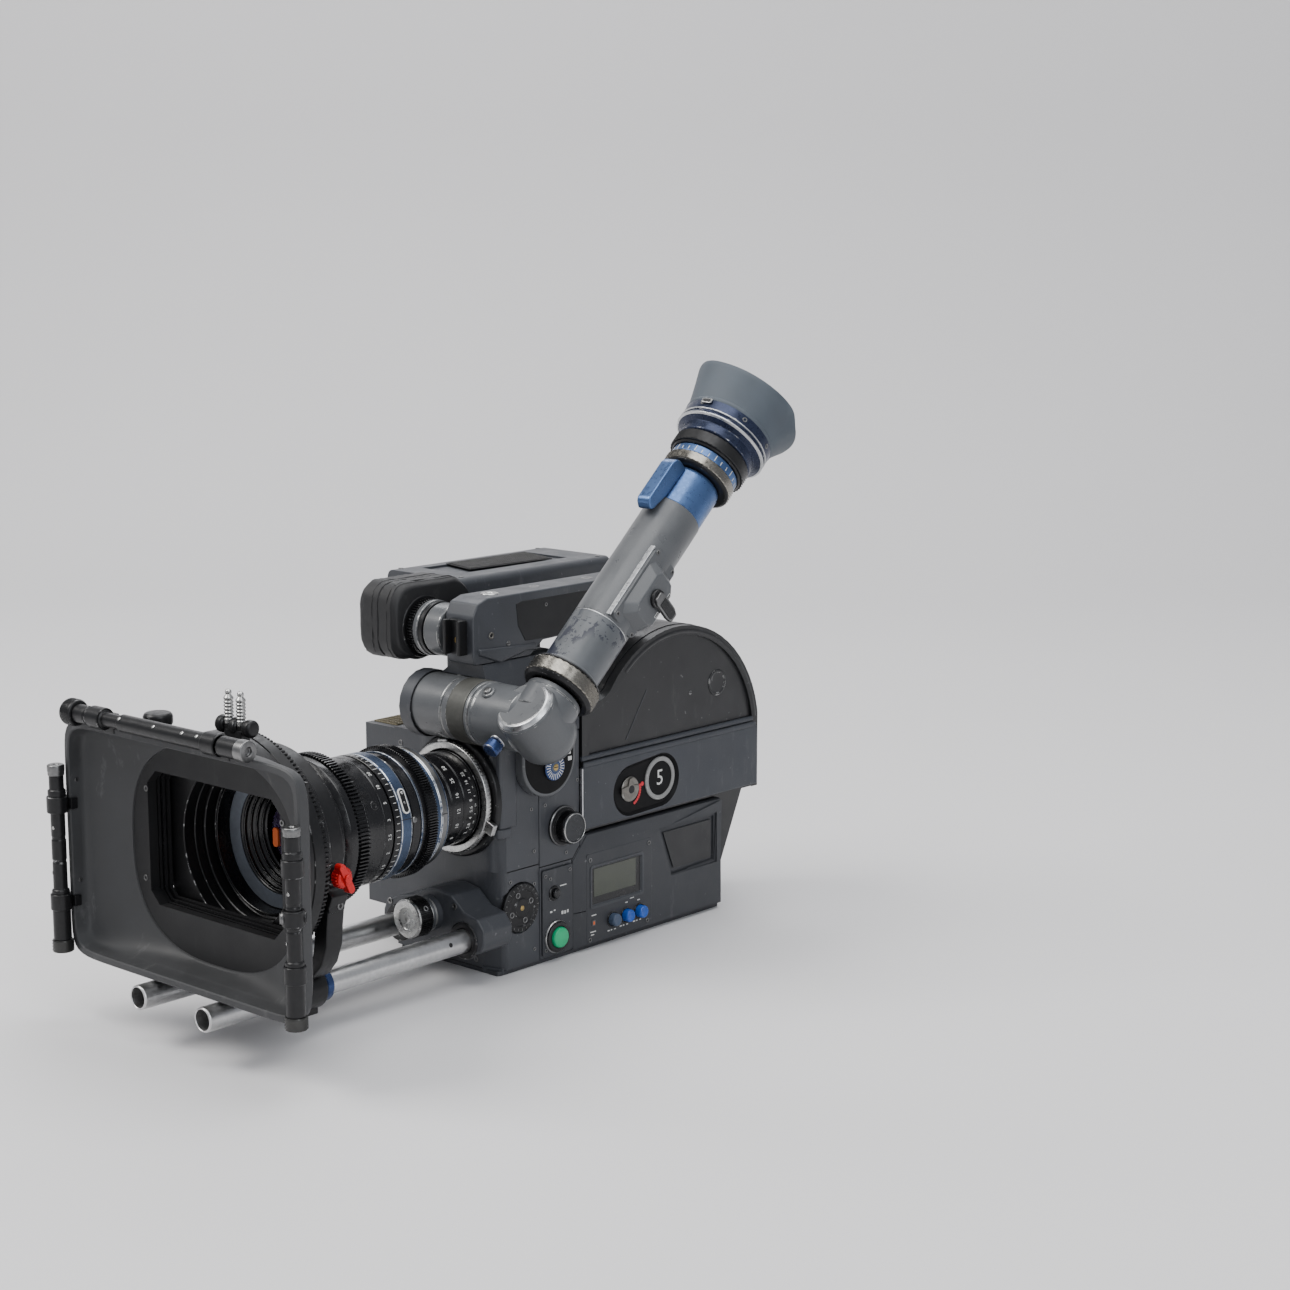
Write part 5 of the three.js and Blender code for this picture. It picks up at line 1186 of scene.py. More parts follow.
def display():
    s = Shape()
    s.slab(SIDE_FACE, round_rect(77.4, 142, 4.4, 65.8, 2.2), 36.3, PANEL - 0.3, body_dark, 0.7)
    opening = Shape()
    opening.slab(SIDE_FACE, round_rect(81.6, 132.6, 28.6, 56.4, 1.6), 37.4, 42, black_gloss, 0)
    s.cut(opening)
    for y in KEY_Y:
        s.cut(Shape().turned(on_side(0, y, KEY_Z), [(0, 37.1), (4.6, 37.1), (4.6, 42), (0, 42)], black_gloss,
                0, 48))
    frame_loops = [[Vector((y, z, x)) for y, z in round_rect(*box, r, 4)] for x, box, r in (
        (PANEL - 1.2, (80.6, 133.6, 27.6, 57.4), 2.2), (PANEL + 0.1, (80.8, 133.4, 27.8, 57.2), 2.2),
        (PANEL + 0.1, (82.4, 131.8, 29.4, 55.6), 1.2), (PANEL - 1.4, (83.4, 130.8, 30.4, 54.6), 0.6))]
    s.loft(SIDE_FACE, frame_loops, [0], body_paint)
    s.slab(SIDE_FACE, round_rect(82, 132.2, 29, 56, 1), 37.3, 37.7, black_gloss, 0)
    s.slab(SIDE_FACE, [(85.4, 35.4), (85.4, 54.2), (126.4, 54.2), (126.4, 35.4)], 37.6, 37.85, screen, 0)
    side_screws(s, PANEL - 0.3, ((81, 61.4), (138.6, 62), (80.4, 7.2), (137, 8.4)), 1.6)
    for y, z in ((101.4, 9.6), (113.4, 10.2), (126.6, 10.6)):
        for k, wide in enumerate((2.2, 1.4, 1.8)):
            s.slab(on_side(PANEL - 0.3, y - 4 + 3.2 * k, z), round_rect(0, wide, -0.4, 0.4, 0.2, 2), 0, 0.08,
                    white_mark, 0)
    for y, z, wide in ((82, 23.4, 4.6), (80.8, 12.2, 5.4), (81.4, 10.2, 3), (115, 25.4, 2.4),
            (127, 24.6, 2.6), (119.6, 27.4, 4)):
        s.slab(on_side(PANEL - 0.3, y, z), round_rect(0, wide, -0.35, 0.35, 0.2, 2), 0, 0.08, white_mark, 0)
    s.slab(on_side(PANEL - 0.3, 83.9, 18.2), round_rect(-1.5, 1.5, -1.9, 1.9, 0.5, 3), 0, 0.5, steel_dark,
            0.2)
    s.slab(on_side(PANEL - 0.3, 83.9, 18.2), round_rect(-0.7, 0.7, -1.1, 1.1, 0.3, 3), 0.3, 0.7, orange_mark_and_painted_reflection,
            0.1)
    for y in KEY_Y:
        s.turned(on_side(PANEL - 0.5, y, KEY_Z), [(4.6, 0), (5.5, 0), (5.5, 0.8), (4.6, 0.9)], black_gloss,
                0.2, 48)
    s.piece("display_face", "camera", "black_plastic", "display_panel")
    for name, y, body, material in (("left", 102.5, "key_left", blue_slate),
            ("middle", 115.7, "key_middle", blue_button),
                                    ("right", 128.9, "key_right", blue_button)):
        b = Shape()
        b.turned(on_side(0, y, KEY_Z), [(0, 38.9), (4.3, 38.9), (4.3, 42.6), (3.9, 43.6), (3.2, 44),
                (2.4, 43.6), (0, 43.3)],
                 material, 0.3, 48)
        b.piece("button_" + name, body, "blue_button", "display_button_" + name)


def controls():
    s = Shape()
    s.slab(SIDE_FACE, round_rect(37.2, 65.4, 5.2, 62.4, 1.4), 35.6, 37.6, body_dark, 0.4)
    for y, z, r in ((*RUN, 7), (*TEST, 3.3)):
        s.cut(Shape().turned(on_side(0, y, z), [(0, 36.3), (r, 36.3), (r, 42), (0, 42)], black_gloss, 0, 48))
    s.turned(on_side(0, *RUN), [(7, 37), (10.4, 37), (10.4, 39.6), (9.8, 40.5), (7.4, 40.5), (7, 40)],
            black_gloss, 0.4, 72)
    s.turned(on_side(0, *RUN), [(10.2, 37.3), (10.9, 37.4), (10.9, 38.2), (10.2, 39.0)], steel, 0.15, 72)
    side_screws(s, 37.6, ((40, 58.6), (44.4, 56.1), (44.3, 43.0), (40, 9.1), (57.6, 8.7), (62.6, 59)), 1.3)
    for y, z, wide, high in ((53.4, 49.7, 6, 0.7), (44, 33.9, 2, 1.2), (47.4, 34.4, 1.6, 0.8),
            (54.6, 31.4, 1.8, 2.2),
                             (57.2, 31.2, 1.6, 2.2), (59.8, 31.4, 1.4, 2.0)):
        s.slab(on_side(37.6, y, z), round_rect(0, wide, -high / 2, high / 2, 0.2, 2), 0, 0.08, white_mark, 0)
    s.turned(on_side(0, *TEST), [(3.3, 37), (5.0, 37), (5.0, 38.2), (4.4, 38.6), (3.3, 38.6)], black_metal,
            0.2, 40)
    s.piece("control_strip", "camera", "black_plastic", "control_plate")
    g = Shape()
    g.turned(on_side(0, *RUN), [(0, 37.8), (6.8, 37.8), (6.8, 41.4), (6.2, 42.6), (4, 43.2), (0, 43.4)],
            green_button, 0.3, 64)
    g.piece("run_cap", "run", "green_button", "run_button")
    t = Shape()
    t.turned(on_side(0, *TEST), [(0, 37.8), (3.1, 37.8), (3.1, 40.4), (2.4, 41), (0, 41.2)], black_gloss, 0.2,
            40)
    t.piece("test_cap", "test", "black_plastic", "test_button")
    k = Shape()
    place = on_side(SIDE, *PHASE)
    k.turned(place, [(0, 0.2), (13.2, 0.2), (13.2, 1.4), (12.4, 2.2), (10.6, 2.6), (10.6, 4), (0, 4)],
            black_metal, 0.3)
    k.teeth(place, 10.1, 10.7, 3.8, 10.2, 60, black_metal, 0.5)
    k.turned(place, [(0, 10), (10.3, 10), (10.3, 10.8), (9.4, 11.6), (8.6, 11.6), (8.4, 11.2), (0, 11.2)],
            black_satin, 0.2)
    k.turned(place, [(9.2, 11.3), (9.9, 11.2), (9.7, 11.7), (9.3, 11.75)], steel, 0.1)
    k.turned(place, [(12.3, 1.9), (13.0, 1.2), (13.2, 1.5), (12.5, 2.2)], steel_dark, 0.1)
    k.piece("phase_dial", "phase", "black_metal", "phase_knob")
    i = Shape()
    place = on_side(34.2, *INCHING)
    i.turned(place, [(0, 0.2), (16.2, 0.2), (16.2, 2.4), (15.4, 3.2), (12.2, 3.4), (11.6, 2.8), (6.6, 2.8),
            (6, 3.6), (0, 3.6)],
             black_metal, 0.3)
    for a in range(0, 360, 15):
        i.box(13.6, 14.9 if a % 45 else 15.5, -0.1, 0.1, 3.15, 3.42, ring_grey, 0, 1,
                place @ Matrix.Rotation(math.radians(a), 4, "Z"))
    for a in (20, 110, 200, 290):
        hole = place @ Matrix.Rotation(math.radians(a), 4, "Z") @ at(9.2, 0, 0)
        i.turned(hole, [(1.3, 2.6), (2.0, 2.6), (2.0, 3.1), (1.3, 3.1)], steel_dark, 0.1, 24)
        i.turned(hole, [(0, 2.7), (1.3, 2.7), (1.3, 2.9), (0, 2.9)], black_matt, 0, 24)
    i.turned(place, [(0, 3.4), (1.8, 3.4), (1.6, 3.8), (0, 3.8)], brass, 0.1, 32)
    i.piece("inching_disc", "inching", "black_metal", "inching_knob")


def finder_plate():
    cy, cz, r = 37.5, 137, 24

    def outline(inset):
        rim = arc_points(cy, cz, r - inset, 180, 360, 40)
        return rim + [(cy + r - inset, 164 - inset), (cy - r + inset, 164 - inset)]

    s = Shape()
    s.slab(SIDE_FACE, outline(0), 36.2, 44.2, finder_paint, 1.2, 3)
    s.slab(SIDE_FACE, outline(2.3), 43.8, 44.6, plate_black, 0.3)
    for y, z, wide in ((54.2, 139.4, 2.6), (54.2, 135.2, 3.4)):
        s.slab(on_side(44.6, y, z), round_rect(0, wide, -1.3, 1.3, 0.2, 2), 0, 0.1, white_mark, 0)
    for y, z in ((50.4, 142.4), (53.4, 143.4), (50.4, 138.2)):
        s.slab(on_side(44.6, y, z), round_rect(0, 2.2, -0.4, 0.4, 0.2, 2), 0, 0.1, white_mark, 0)
    s.slab(LEVEL, [(30, 0.6), (33.8, 0.6), (36.6, 6), (36.6, 14), (30, 14)], 113, 149, finder_paint, 0.8)
    s.piece("finder_plate_face", "camera", "light_paint", "finder_plate")
    d = Shape()
    place = on_side(45, *DIAL)
    d.turned(place, [(0, 0), (8.8, 0), (8.8, 0.8), (8.2, 1.2), (0, 1.2)], blue_deep, 0.2, 72)
    for a in range(0, 360, 15):
        d.box(4.4, 8.0, -0.28, 0.28, 1.1, 1.3, white_mark, 0, 1,
                place @ Matrix.Rotation(math.radians(a), 4, "Z"))
    d.turned(place, [(0, 1), (3.6, 1), (3.4, 1.5), (0, 1.6)], blue_slate, 0.1, 48)
    d.screw(place @ at(0, 0, 1.4), 2.2, brass, "slot", 0.5)
    d.piece("mode_dial", "dial", "blue_metal", "finder_dial")


def rod_bracket():
    s = Shape()
    points = [(-44.6, 36), (-42, 42), (-30.6, 47), (-16, 50.6), (-3.6, 57.4), (6, 58.6), (18.8, 56.5),
            (30, 47.4), (42, 45),
              (47.6, 38), (47.7, 30.4), (45, 24.6), (40.2, 22.0), (30, 19.4), (18, 17.6), (0, 18.4),
                      (-18, 19.6), (-34.9, 20),
              (-42, 24), (-45, 30)]
    s.slab(facing_lens(0), points, 0.4, 26, body_paint, 1.4, 3)
    for x in (-30, 30):
        s.cut(Shape().turned(on_lens(x, 29.3), [(0, -2), (7.7, -2), (7.7, 30), (0, 30)], black_matt, 0, 64))
        s.turned(on_lens(x, 29.3), [(7.7, 24), (12.2, 24), (12.2, 26.4), (11.4, 27.2), (8.4, 27.2),
                (7.7, 26.6)], black_metal, 0.3, 72)
    s.turned(on_lens(0, 42), [(0, 20), (11.4, 20), (11.4, 31), (10.4, 33.8), (0, 33.8)], body_paint, 0.6, 72)
    for x, z in ((-38, 42.4), (18, 24), (-16, 25), (22, 50)):
        s.screw(on_lens(x, z) @ at(0, 0, 26), 2.2, steel_dark, "hex", 0.6)
    s.piece("bracket_block", "camera", "body_paint", "rod_bracket")
    k = Shape()
    place = on_lens(0, 42)
    k.turned(place, [(0, 34.6), (12.2, 34.6), (12.2, 45.4), (0, 45.4)], steel_dark, 0.4)
    k.teeth(place, 12.2, 13.0, 35.4, 44.6, 54, black_metal, 0.55)
    k.turned(place, [(0, 45.2), (12.6, 45.2), (12.6, 46.2), (11.6, 46.9), (7.2, 46.9), (6.6, 46.2),
            (2.6, 46.0), (2.2, 45.6), (0, 45.6)],
             steel, 0.2)
    k.turned(place @ Matrix.Rotation(math.radians(35), 4, "Z") @ along((12.9, 0, 40), (1, 0, 0)),
             [(1.1, -0.4), (1.8, -0.4), (1.8, 0.2), (1.1, 0.2)], steel, 0.1, 24)
    k.piece("clamp_knob", "rod_knob", "steel", "rod_clamp_knob")
    for name, x in (("far", -30), ("near", 30)):
        rod = Shape()
        rod.turned(on_lens(x, 29.3), [(6.1, 0.6), (7.5, 0.6), (7.5, 230.8), (7.1, 231.7), (6.5, 232),
                (6.1, 231.6)], rod_metal, 0.2)
        rod.turned(on_lens(x, 29.3), [(0, 0.8), (6.2, 0.8), (6.2, 224), (0, 224)], black_matt, 0, 48)
        if x > 0:
            hole = on_lens(x, 29.3) @ Matrix.Rotation(math.radians(20), 4, "Z") @ along((7.5, 0, 44),
                    (1, 0, 0))
            rod.turned(hole, [(0, -0.4), (1.5, -0.4), (1.5, 0.03), (0, 0.03)], black_matt, 0, 24)
        rod.piece("rod_tube_" + name, "camera", "rod_metal", "rod_" + name)


def upper_housing():
    s = Shape()
    s.solid("turret_housing", body_paint, 1.0, 3)
    for x, z in ((-26, 157), (30, 155), (2, 160)):
        s.screw(along((x, 3, z), (0, -1, 0)), 1.6, steel_dark, "hex", 0.5)
    s.slab(LEVEL, [(-22, -2), (-8, -2), (-8, 3.4), (-22, 3.4)], 149.8, 154.6, body_dark, 0.6)
    side_screws(s, 30, ((66, 154),), 1.4)
    s.piece("turret_casting", "camera", "body_paint", "turret_housing")
    b = Shape()
    b.solid("base_plate", body_dark, 0.6)
    b.piece("base_casting", "camera", "body_paint", "base_plate")
    e = Shape()
    e.solid("side_housing", body_paint, 1.0, 3)
    grille = [LEVEL @ at(-85.4 + 2.6 * i, 0, 0) for i in range(9)]
    for i, place in enumerate(grille):
        e.slab(place, [(0, 6), (0.9, 6), (0.9, 64), (0, 64)], 148.4, 150.0, grille_tan, 0.15, 1)
    for k in range(12):
        e.box(-86, -63.6, 6 + 5 * k, 6.9 + 5 * k, 148.6, 149.8, grille_tan, 0.15, 1)
    for y, z in ((10, 38), (10, 138), (140, 38), (140, 138)):
        e.screw(along((-88, y, z), (-1, 0, 0)), 2.0, steel_dark, "hex", 0.6)
    cover = [[Vector((-88.0 - depth, y, z)) for y,
            z in round_rect(18 + inset, 130 - inset, 50 + inset, 126 - inset, 6, 5)]
             for depth, inset in ((-0.6, 0), (0.8, 0), (2.0, 1.6))]
    e.skin(LEVEL, cover, body_dark, 0.5)
    for k in range(4):
        e.turned(along((-89.4, 34 + 26 * k, 40), (-1, 0, 0)),
                [(0, -1.5), (7, -1.5), (7, 0.8), (6, 1.6), (5, 1.6), (5, 0.4), (0, 0.4)],
                 black_metal, 0.2, 48)
    e.piece("side_electronics", "camera", "body_paint", "side_housing")


front_housing()
main_housing()
rear_housing()
display()
controls()
finder_plate()
rod_bracket()
upper_housing()

# ---- Magazine ---------------------------------------------------------------------------------------
BAND_X = 38.2


def magazine_cover():
    s = Shape()
    s.solid("magazine_door", cover_black, 0.8, 3)
    roll = []
    for a in range(8, 132, 3):
        c, n = math.cos(math.radians(a)), math.sin(math.radians(a))
        bead = [Vector((MAG_Y + (81.6 + 2.6 * math.cos(b)) * c, MAG_Z + (81.6 + 2.6 * math.cos(b)) * n,
                35.2 + 2.4 * math.sin(b)))
                for b in [math.radians(30 * k) for k in range(12)]]
        roll.append(bead)
    s.skin(SIDE_FACE, roll, cover_black, 0)
    s.turned(on_side(34.6, 213, 160.6), [(0, 0), (9.2, 0), (9.2, 0.7), (8.6, 1.1), (7.4, 1.1), (7, 0.7),
            (0, 0.7)], cover_black, 0.2)
    s.screw(on_side(35, 185, 157.6), 1.5, steel_dark, "slot", 0.3)
    s.slab(on_side(35, 0, 0), [(119.6, 135.6), (120.4, 135.2), (140.8, 165.8), (140, 166)], -0.2, 0.22,
            body_dark, 0)
    s.slab(SIDE_FACE, [(75, 128), (250, 128), (250, 131.6), (75, 131.6)], 34.6, 37.6, band_blue, 0.9)
    s.slab(SIDE_FACE, [(75, 124.2), (251, 124.2), (251, 127.8), (75, 127.8)], 37.4, BAND_X + 0.9, band_blue,
            0.8)
    band = Shape()
    band.skin(SIDE_FACE, layers(
        (36.5, [(74.4, 82.4), (74.4, 124.6), (253.6, 124.6), (253.6, 82.4)]),
        (BAND_X - 0.4, [(74.4, 82.4), (74.4, 124.6), (253.6, 124.6), (253.6, 82.4)]),
        (BAND_X + 0.5, [(75.6, 83.6), (75.6, 124.4), (252.6, 124.4), (252.6, 83.6)]),
    ), band_blue, 0.4)
    s.cut(Shape().slab(SIDE_FACE, stadium(17.6), 36.4, 42, cover_black, 0))
    pocket = Shape()
    pocket.skin(SIDE_FACE, layers(
        (36.9, stadium(15.4)), (39.5, stadium(18.2))), plate_black, 0)
    band.cut(pocket)
    band.slab(SIDE_FACE, stadium(15.2), 36.6, 37.1, plate_black, 0)
    band.turned(on_side(36.8, 151, 104.4), [(11.6, 0), (14.8, 0), (14.8, 1.1), (14.2, 1.5), (12.2, 1.5),
            (11.6, 1.1)], ring_grey, 0.25)
    band.turned(on_side(36.8, 151, 104.4), [(0, 0.2), (11.7, 0.2), (11.7, 0.8), (0, 0.8)], plate_black, 0.1)
    band.digits(on_side(37.6, 151, 104.4), "5", 15, white_mark, 0.12)
    band.turned(on_side(36.8, 133.6, 103.4), [(0, 0.2), (1.5, 0.2), (1.5, 0.6), (0, 0.6)], red_mark, 0, 24)
    for k in range(9):
        a = math.radians(-62 + 9 * k)
        band.turned(on_side(36.8, 121 + 10.6 * math.cos(a), 101 + 10.6 * math.sin(a)),
                [(0, 0.2), (1.0, 0.2), (1.0, 0.5), (0, 0.5)],
                    red_mark, 0, 16)
    band.slab(on_side(37, 103.6, 103.8), round_rect(-0.9, 0.9, -1.2, 1.2, 0.2, 2), 0, 0.3, white_mark, 0)
    band.slab(SIDE_FACE, [(74.0, 83), (75.4, 83), (75.4, 124), (74.0, 124)], 35.6, BAND_X + 0.2, rim_bright,
            0.5)
    band.piece("door_band", "door", "cover_black")
    s.piece("door_cover", "door", "cover_black", "magazine_door")


def stadium(half):
    """Outline in (y, z) of the long recess round the door lock and the number disc."""
    first = arc_points(151, 103.4, half + 1, -90, 90, 20)
    second = arc_points(121, 101.4, half, 90, 270, 20)
    return first + second


def door_lock():
    s = Shape()
    place = on_side(36.6, 121, 102)
    s.turned(place, [(0, 0.6), (8.6, 0.6), (8.6, 1.2), (8, 1.6), (0, 1.6)], steel_worn, 0.2, 64)
    s.slab(place, [(-9.4, -2), (-9.4, 2.0), (-3, 2.8), (-1.6, 7.6), (1.6, 8.0), (3, 2.8), (7.6, 2), (7.6, -2),
            (1.4, -2.8), (-3, -2.8)],
           1.2, 2.6, steel_worn, 0.6)
    s.turned(place, [(0, 1.4), (2.8, 1.4), (2.8, 2.8), (0, 2.9)], black_metal, 0.2, 40)
    s.piece("door_latch", "door_lock", "steel", "magazine_lock")


def magazine_case():
    s = Shape()
    s.solid("magazine_case", cover_black, 1.2, 3)
    rib = [[Vector((x, MAG_Y + r * math.cos(math.radians(a)), MAG_Z + r * math.sin(math.radians(a))))
            for r, x in ((85.4, -33), (86.6, -32), (86.6, -28.6), (85.4, -28))] for a in range(-60, 134, 3)]
    s.skin(LEVEL, rib, cover_black, 0)
    latch = at(-2, MAG_Y + MAG_R * math.cos(math.radians(96)), MAG_Z + MAG_R * math.sin(math.radians(96)))
    s.slab(latch @ ALONG_X, [(-16, -1), (-16, 2.6), (-9, 5), (5, 5.4), (8, 9.4), (14, 9.2), (14, 6.4),
            (10, 3), (10, -1)], -6, 6, black_metal, 0.8)
    s.turned(latch @ at(0, -4, 4) @ Matrix.Rotation(math.pi / 2, 4, "Y"),
            [(0, -7.4), (1.8, -7.4), (1.8, 7.4), (0, 7.4)], steel_dark, 0.2, 32)
    for y, z in ((230, 90), (230, 150), (190, 184), (150, 190)):
        s.screw(along((-34, y, z), (-1, 0, 0)), 2.0, steel_dark, "hex", 0.6)
    s.piece("magazine_shell", "magazine", "cover_black", "magazine_case")
    for node, name in (("feed_roll", "feed_pack"), ("takeup_roll", "takeup_pack")):
        roll = Shape()
        roll.solid(node, film_base, 0.3)
        roll.piece(name, node.replace("_roll", ""), "film", node)


magazine_cover()
door_lock()
magazine_case()

# ---- Handle and video assist ------------------------------------------------------------------------
def handle():
    s = Shape()
    s.solid("handle_body", body_paint, 1.3, 3)
    grip = [(33, 235.4), (37.6, 236.6), (148.6, 236.6), (152.4, 233), (153, 223), (148.8, 213.4), (62, 210.2),
            (41, 210.6), (34.6, 221)]
    for inner, outer in ((18.6, 20.4), (-5.4, -3.6)):
        s.slab(SIDE_FACE, grip, inner, outer, black_matt, 0.5)
    foot = layers(
        (17, [(-2, 205), (17.7, 197), (42, 203.4), (54, 201.6), (54, 208), (-2, 212)]),
        (21.5, [(0, 207), (18, 200.4), (42, 205), (50, 204.4), (50, 208), (0, 210)]))
    s.skin(SIDE_FACE, foot, body_paint, 0.6)
    s.screw(on_side(20, 10.6, 217.9), 2.2, steel_worn, "hex", 0.7)
    s.screw(on_side(20.4, 60, 232), 1.3, steel_dark, "hex", 0.3)
    for y, z in ((26, 211), (142, 226)):
        s.screw(on_side(20, y, z), 1.8, steel_dark, "slot", 0.4)
    s.turned(at(7.5, 22, 241.4), [(2.6, 0), (6, 0), (6, 0.8), (5.4, 1.3), (3.2, 1.3), (2.6, 0.6)], steel, 0.2,
            48)
    s.turned(at(7.5, 22, 241.4), [(0, 0.2), (2.7, 0.2), (2.7, 0.5), (0, 0.5)], black_matt, 0, 32)
    for y in (62, 112):
        s.turned(at(7.5, y, 241.4), [(1.6, 0), (4.2, 0), (4.2, 0.6), (3.8, 0.9), (2, 0.9), (1.6, 0.4)],
                steel_dark, 0.15, 40)
        s.turned(at(7.5, y, 241.4), [(0, 0.2), (1.7, 0.2), (1.7, 0.4), (0, 0.4)], black_matt, 0, 24)
    s.piece("carry_handle", "camera", "body_paint", "handle_body")
    c = Shape()
    c.solid("accessory_shoe", black_metal, 0.5)
    c.screw(along((7.5, -7.0, 216), (0, -1, 0)), 2.4, brass, "slot", 0.7)
    c.piece("shoe_rails", "camera", "black_metal", "accessory_shoe")


def wrinkled(loops, depth, size):
    """Loops pushed in and out a little, like tape laid over a hard shape."""
    def push(p):
        return depth * (noise.noise(p / size) + 0.5 * noise.noise(p / size * 2.3))

    out = []
    for loop in loops:
        centre = sum(loop, Vector()) / len(loop)
        out.append([p + (p - centre).normalized() * push(p) for p in loop])
    return out


def video_assist():
    relay = at(0, RELAY_Y, RELAY_Z) @ Matrix.Rotation(math.pi / 2, 4, "Y")
    s = Shape()
    s.turned(relay, [(12, -24), (14.6, -24), (14.6, -20), (16.6, -19.6), (16.9, -19), (16.9, -7), (16.2, -6),
            (12, -6)], finder_satin, 0.3)
    s.turned(relay, [(14.4, -23.6), (17.4, -23.6), (17.4, -20.6), (14.4, -20.6)], black_metal, 0.3)
    s.piece("relay_tube", "camera", "light_paint", "video_relay_barrel")
    f = Shape()
    f.turned(relay, [(13, -24.2), (17.6, -24.2), (17.9, -24.8), (17.9, -28), (17.4, -28.4), (13, -28.4)],
            finder_satin, 0.3)
    f.teeth(relay, 17.4, 18.4, -33.8, -28.6, 60, lens_black, 0.5)
    f.turned(relay, [(13, -34.3), (17.4, -34.3), (17.4, -28.4), (13, -28.4)], lens_black, 0.2)
    f.piece("assist_grip", "assist_focus", "black_metal", "video_focus_ring")

    t = Shape()
    def section(x, grow):
        return [Vector((x, y, z)) for y, z in round_rect(-19.5 - grow, 45.8, 198.4 - grow, 246.6 + grow, 13.5,
                10)]
    rings = []
    for x, grow in ((-71.4, -3.2), (-70.4, -1.2), (-68, 0), (-62, 0.2), (-61.6, 0.7), (-52, 0.7),
            (-51.6, 0.1), (-46, 0.1),
                    (-45.6, 0.6), (-40, 0.5), (-39.6, -0.2), (-37, -1), (-35.4, -3)):
        dense = []
        base = section(x, grow)
        for a, b in zip(base, base[1:] + base[:1]):
            steps = max(1, int((b - a).length / 4))
            dense += [a.lerp(b, k / steps) for k in range(steps)]
        rings.append(dense)
    full = []
    for a, b in zip(rings, rings[1:]):
        steps = max(1, int(abs(a[0].x - b[0].x) / 2))
        for k in range(steps):
            full.append([p.lerp(q, k / steps) for p, q in zip(a, b)])
    full.append(rings[-1])
    t.skin(LEVEL, wrinkled(full, 0.5, 9), tape_black, 0)
    for x0, x1, grow, seed in ((-66, -57, 0.9, 1), (-50, -43, 0.8, 5)):
        strip = []
        for inner, x in ((0, x0), (grow, x0), (grow, x1), (0, x1)):
            loop = []
            base = section(x, inner)
            for a, b in zip(base, base[1:] + base[:1]):
                steps = max(1, int((b - a).length / 3))
                for k in range(steps):
                    p = a.lerp(b, k / steps)
                    ragged = 0.7 * math.sin(p.y * 0.9 + seed) + 0.5 * math.sin(p.z * 1.7 + 2 * seed)
                    loop.append(p + Vector((ragged if x == x0 else 0.6 * ragged, 0, 0)))
            strip.append(loop)
        t.loft(LEVEL, wrinkled(strip, 0.4, 7), [1], tape_black)
    t.turned(relay, [(14, -46), (21.5, -46), (22.4, -45), (22.4, -41), (21.5, -40), (14, -40)], black_matt,
            0.3)
    t.turned(relay, [(13, -40), (19.6, -40), (20.4, -39), (20.4, -36), (19.4, -34.9), (13, -34.9)],
            black_metal, 0.4)
    t.piece("taped_elbow", "camera", "black_plastic", "video_elbow", sharp=50)

    c = Shape()
    c.solid("video_camera", body_paint, 1.0, 3)
    strip = [(-104, 90), (-72, 82), (-66.6, 156), (-104, 166)]
    c.slab(LEVEL, strip, 242.6, 243.4, black_matt, 0.2)
    for k in range(1, 40):
        share = k / 40
        a = Vector(strip[0]).lerp(Vector(strip[3]), share)
        b = Vector(strip[1]).lerp(Vector(strip[2]), share)
        c.slab(LEVEL, [(a.x + 1, a.y), (b.x - 1, b.y), (b.x - 1, b.y + 0.7), (a.x + 1, a.y + 0.7)], 243.2,
                243.75, mesh_dark, 0, 1)
    for k in range(1, 17):
        share = k / 17
        a = Vector(strip[0]).lerp(Vector(strip[1]), share)
        b = Vector(strip[3]).lerp(Vector(strip[2]), share)
        c.slab(LEVEL, [(a.x, a.y + 1), (a.x + 0.7, a.y + 1), (b.x + 0.7, b.y - 1), (b.x, b.y - 1)], 243.3,
                243.8, mesh_dark, 0, 1)
    for x, y in ((-110, 54), (-52, 54), (-110, 186), (-52, 186)):
        c.screw(at(x, y, 243), 1.8, steel_dark, "hex", 0.4)
    for x, z in ((-100, 232), (-100, 210), (-62, 232)):
        c.turned(along((x, 192.6, z), (0, 1, 0)), [(0, 0), (5.6, 0), (5.6, 2.6), (4.8, 3.2), (3.6, 3.2),
                (3.6, 1), (0, 1)], black_metal, 0.2, 48)
    c.turned(along((-62, 192.6, 211), (0, 1, 0)),
            [(0, 0), (4.2, 0), (4.2, 5), (3.4, 5.6), (2.2, 5.6), (2.2, 2), (0, 2)], steel_dark, 0.2, 48)
    c.piece("assist_camera", "camera", "body_paint", "video_camera")


handle()
video_assist()

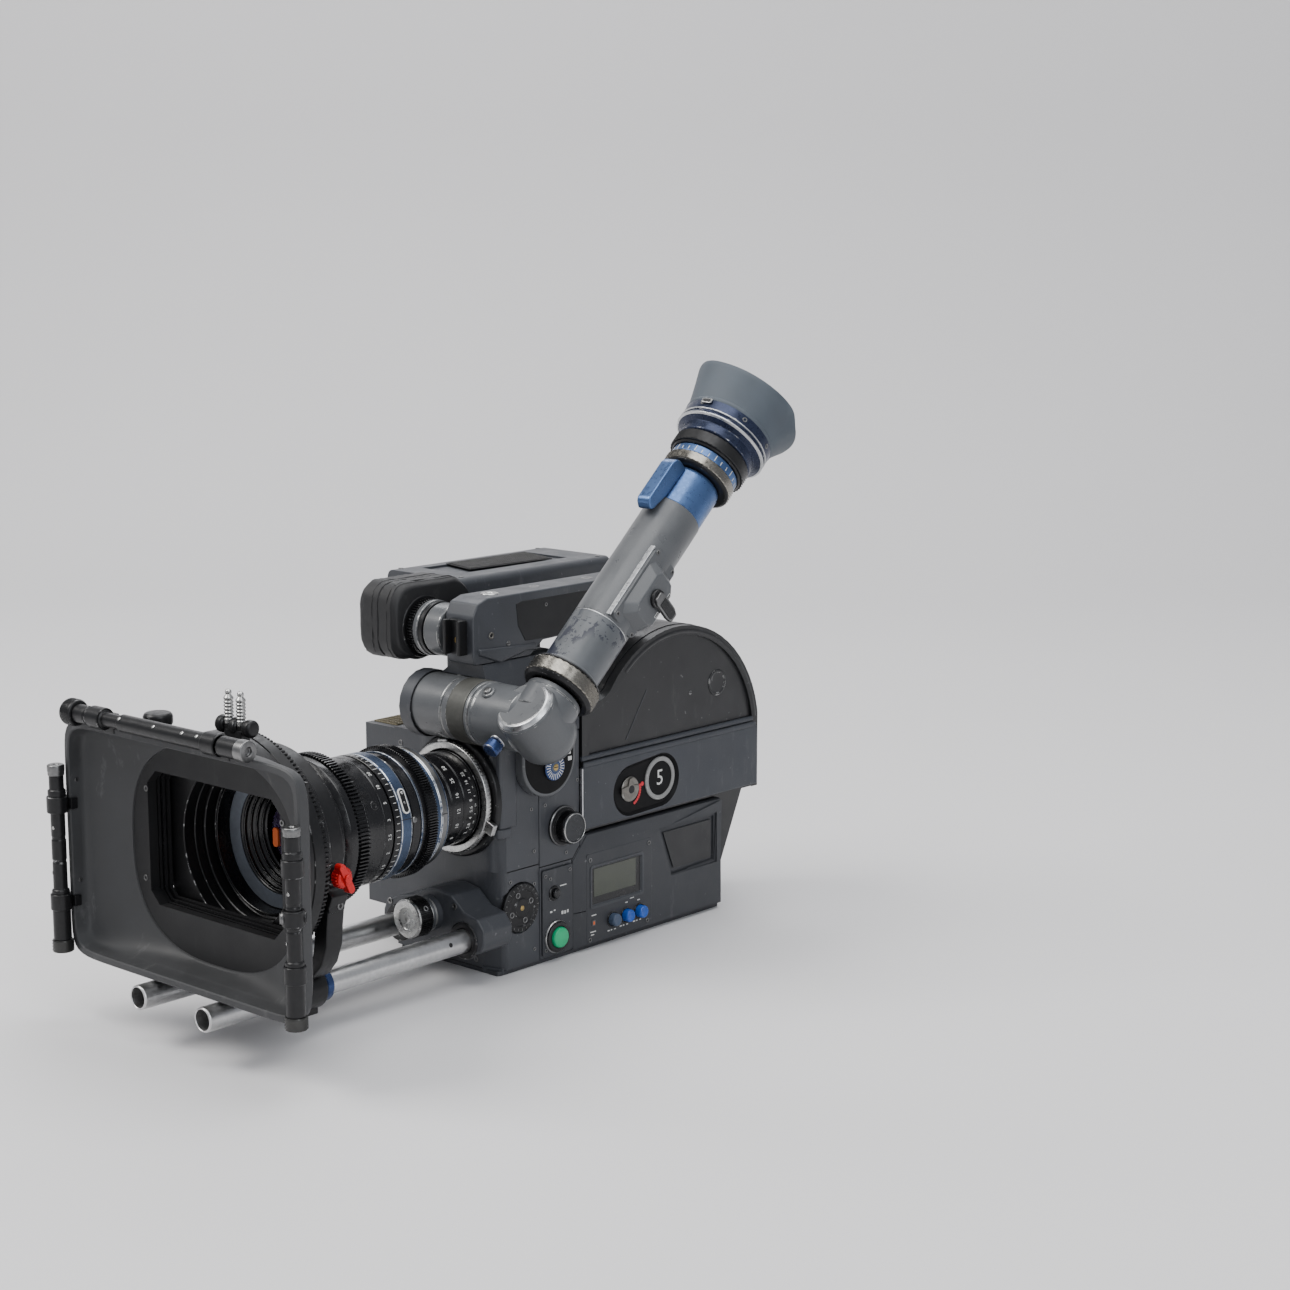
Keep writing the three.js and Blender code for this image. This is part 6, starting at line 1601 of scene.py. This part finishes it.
# ---- Light, floor and camera ------------------------------------------------------------------------
def studio():
    world = bpy.data.worlds.new("studio")
    bpy.context.scene.world = world
    world.use_nodes = True
    world.node_tree.nodes["Background"].inputs["Color"].default_value = (0.9, 0.93, 1.0, 1)
    world.node_tree.nodes["Background"].inputs["Strength"].default_value = 0.42

    n = Nodes("paper", rough=0.9)
    n.set("Base Color", n.mix(n.noise(400, 2), (0.66, 0.652, 0.658), (0.69, 0.682, 0.688)))
    shape = Shape()
    profile = [(-1600, 0), (1500, 0)] + [
        (1500 + 600 * math.sin(math.radians(a)), 600 - 600 * math.cos(math.radians(a))) for a in range(10, 91,
                10)
    ] + [(2100, 2600)]
    loops = [[Vector((x, y, z)) for x in (-3200, 3200)] for y, z in profile]
    bm = bmesh.new()
    rows = [[bm.verts.new(p) for p in loop] for loop in loops]
    for a, b in zip(rows, rows[1:]):
        bm.faces.new((a[0], a[1], b[1], b[0]))
    shape.take(bm, Matrix.Rotation(math.radians(41.86), 4, "Z"), n.material)
    shape.bm.transform(TO_ROW)
    floor = shape.object("floor")
    floor.data.flip_normals()

    for name, where, aim, size, power, color in (
        ("key", (-1.1, -1.5, 2.1), (0, 0, 0.1), (1.6, 1.2), 56, (1.0, 0.98, 0.95)),
        ("top", (0.3, 0.1, 2.5), (0, 0, 0), (2.4, 1.8), 60, (1.0, 1.0, 1.0)),
        ("side", (2.2, -0.9, 1.3), (0, 0, 0.15), (1.2, 1.6), 26, (0.94, 0.97, 1.0)),
        ("back", (-1.6, 1.4, 1.7), (0, 0, 0.2), (1.4, 1.0), 26, (0.95, 0.97, 1.0)),
    ):
        light = bpy.data.lights.new(name, "AREA")
        light.shape = "RECTANGLE"
        light.size, light.size_y = size
        light.energy = power
        light.color = color
        lamp = bpy.data.objects.new(name, light)
        lamp.location = where
        lamp.rotation_euler = (Vector(aim) - Vector(where)).to_track_quat("-Z", "Y").to_euler()
        bpy.context.scene.collection.objects.link(lamp)


def camera():
    azimuth, elevation = math.radians(41.85549), math.radians(10.16071)
    back = Vector((
        math.sin(azimuth) * math.cos(elevation), -math.cos(azimuth) * math.cos(elevation),
                math.sin(elevation)))
    data = bpy.data.cameras.new("camera")
    data.lens = 68.68
    data.sensor_width = 36
    made = bpy.data.objects.new("camera", data)
    made.location = (1.10860, -1.12152, 0.48499)
    made.rotation_euler = (-back).to_track_quat("-Z", "Y").to_euler()
    bpy.context.scene.collection.objects.link(made)
    bpy.context.scene.camera = made


camera()
studio()
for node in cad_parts.values():
    key = node.data.materials[0].name.split(".")[0] if node.data.materials else ""
    node.data.materials.clear()
    node.data.materials.append(FINISH.get(key, body_paint))
    node.data.set_sharp_from_angle(angle=math.radians(35))
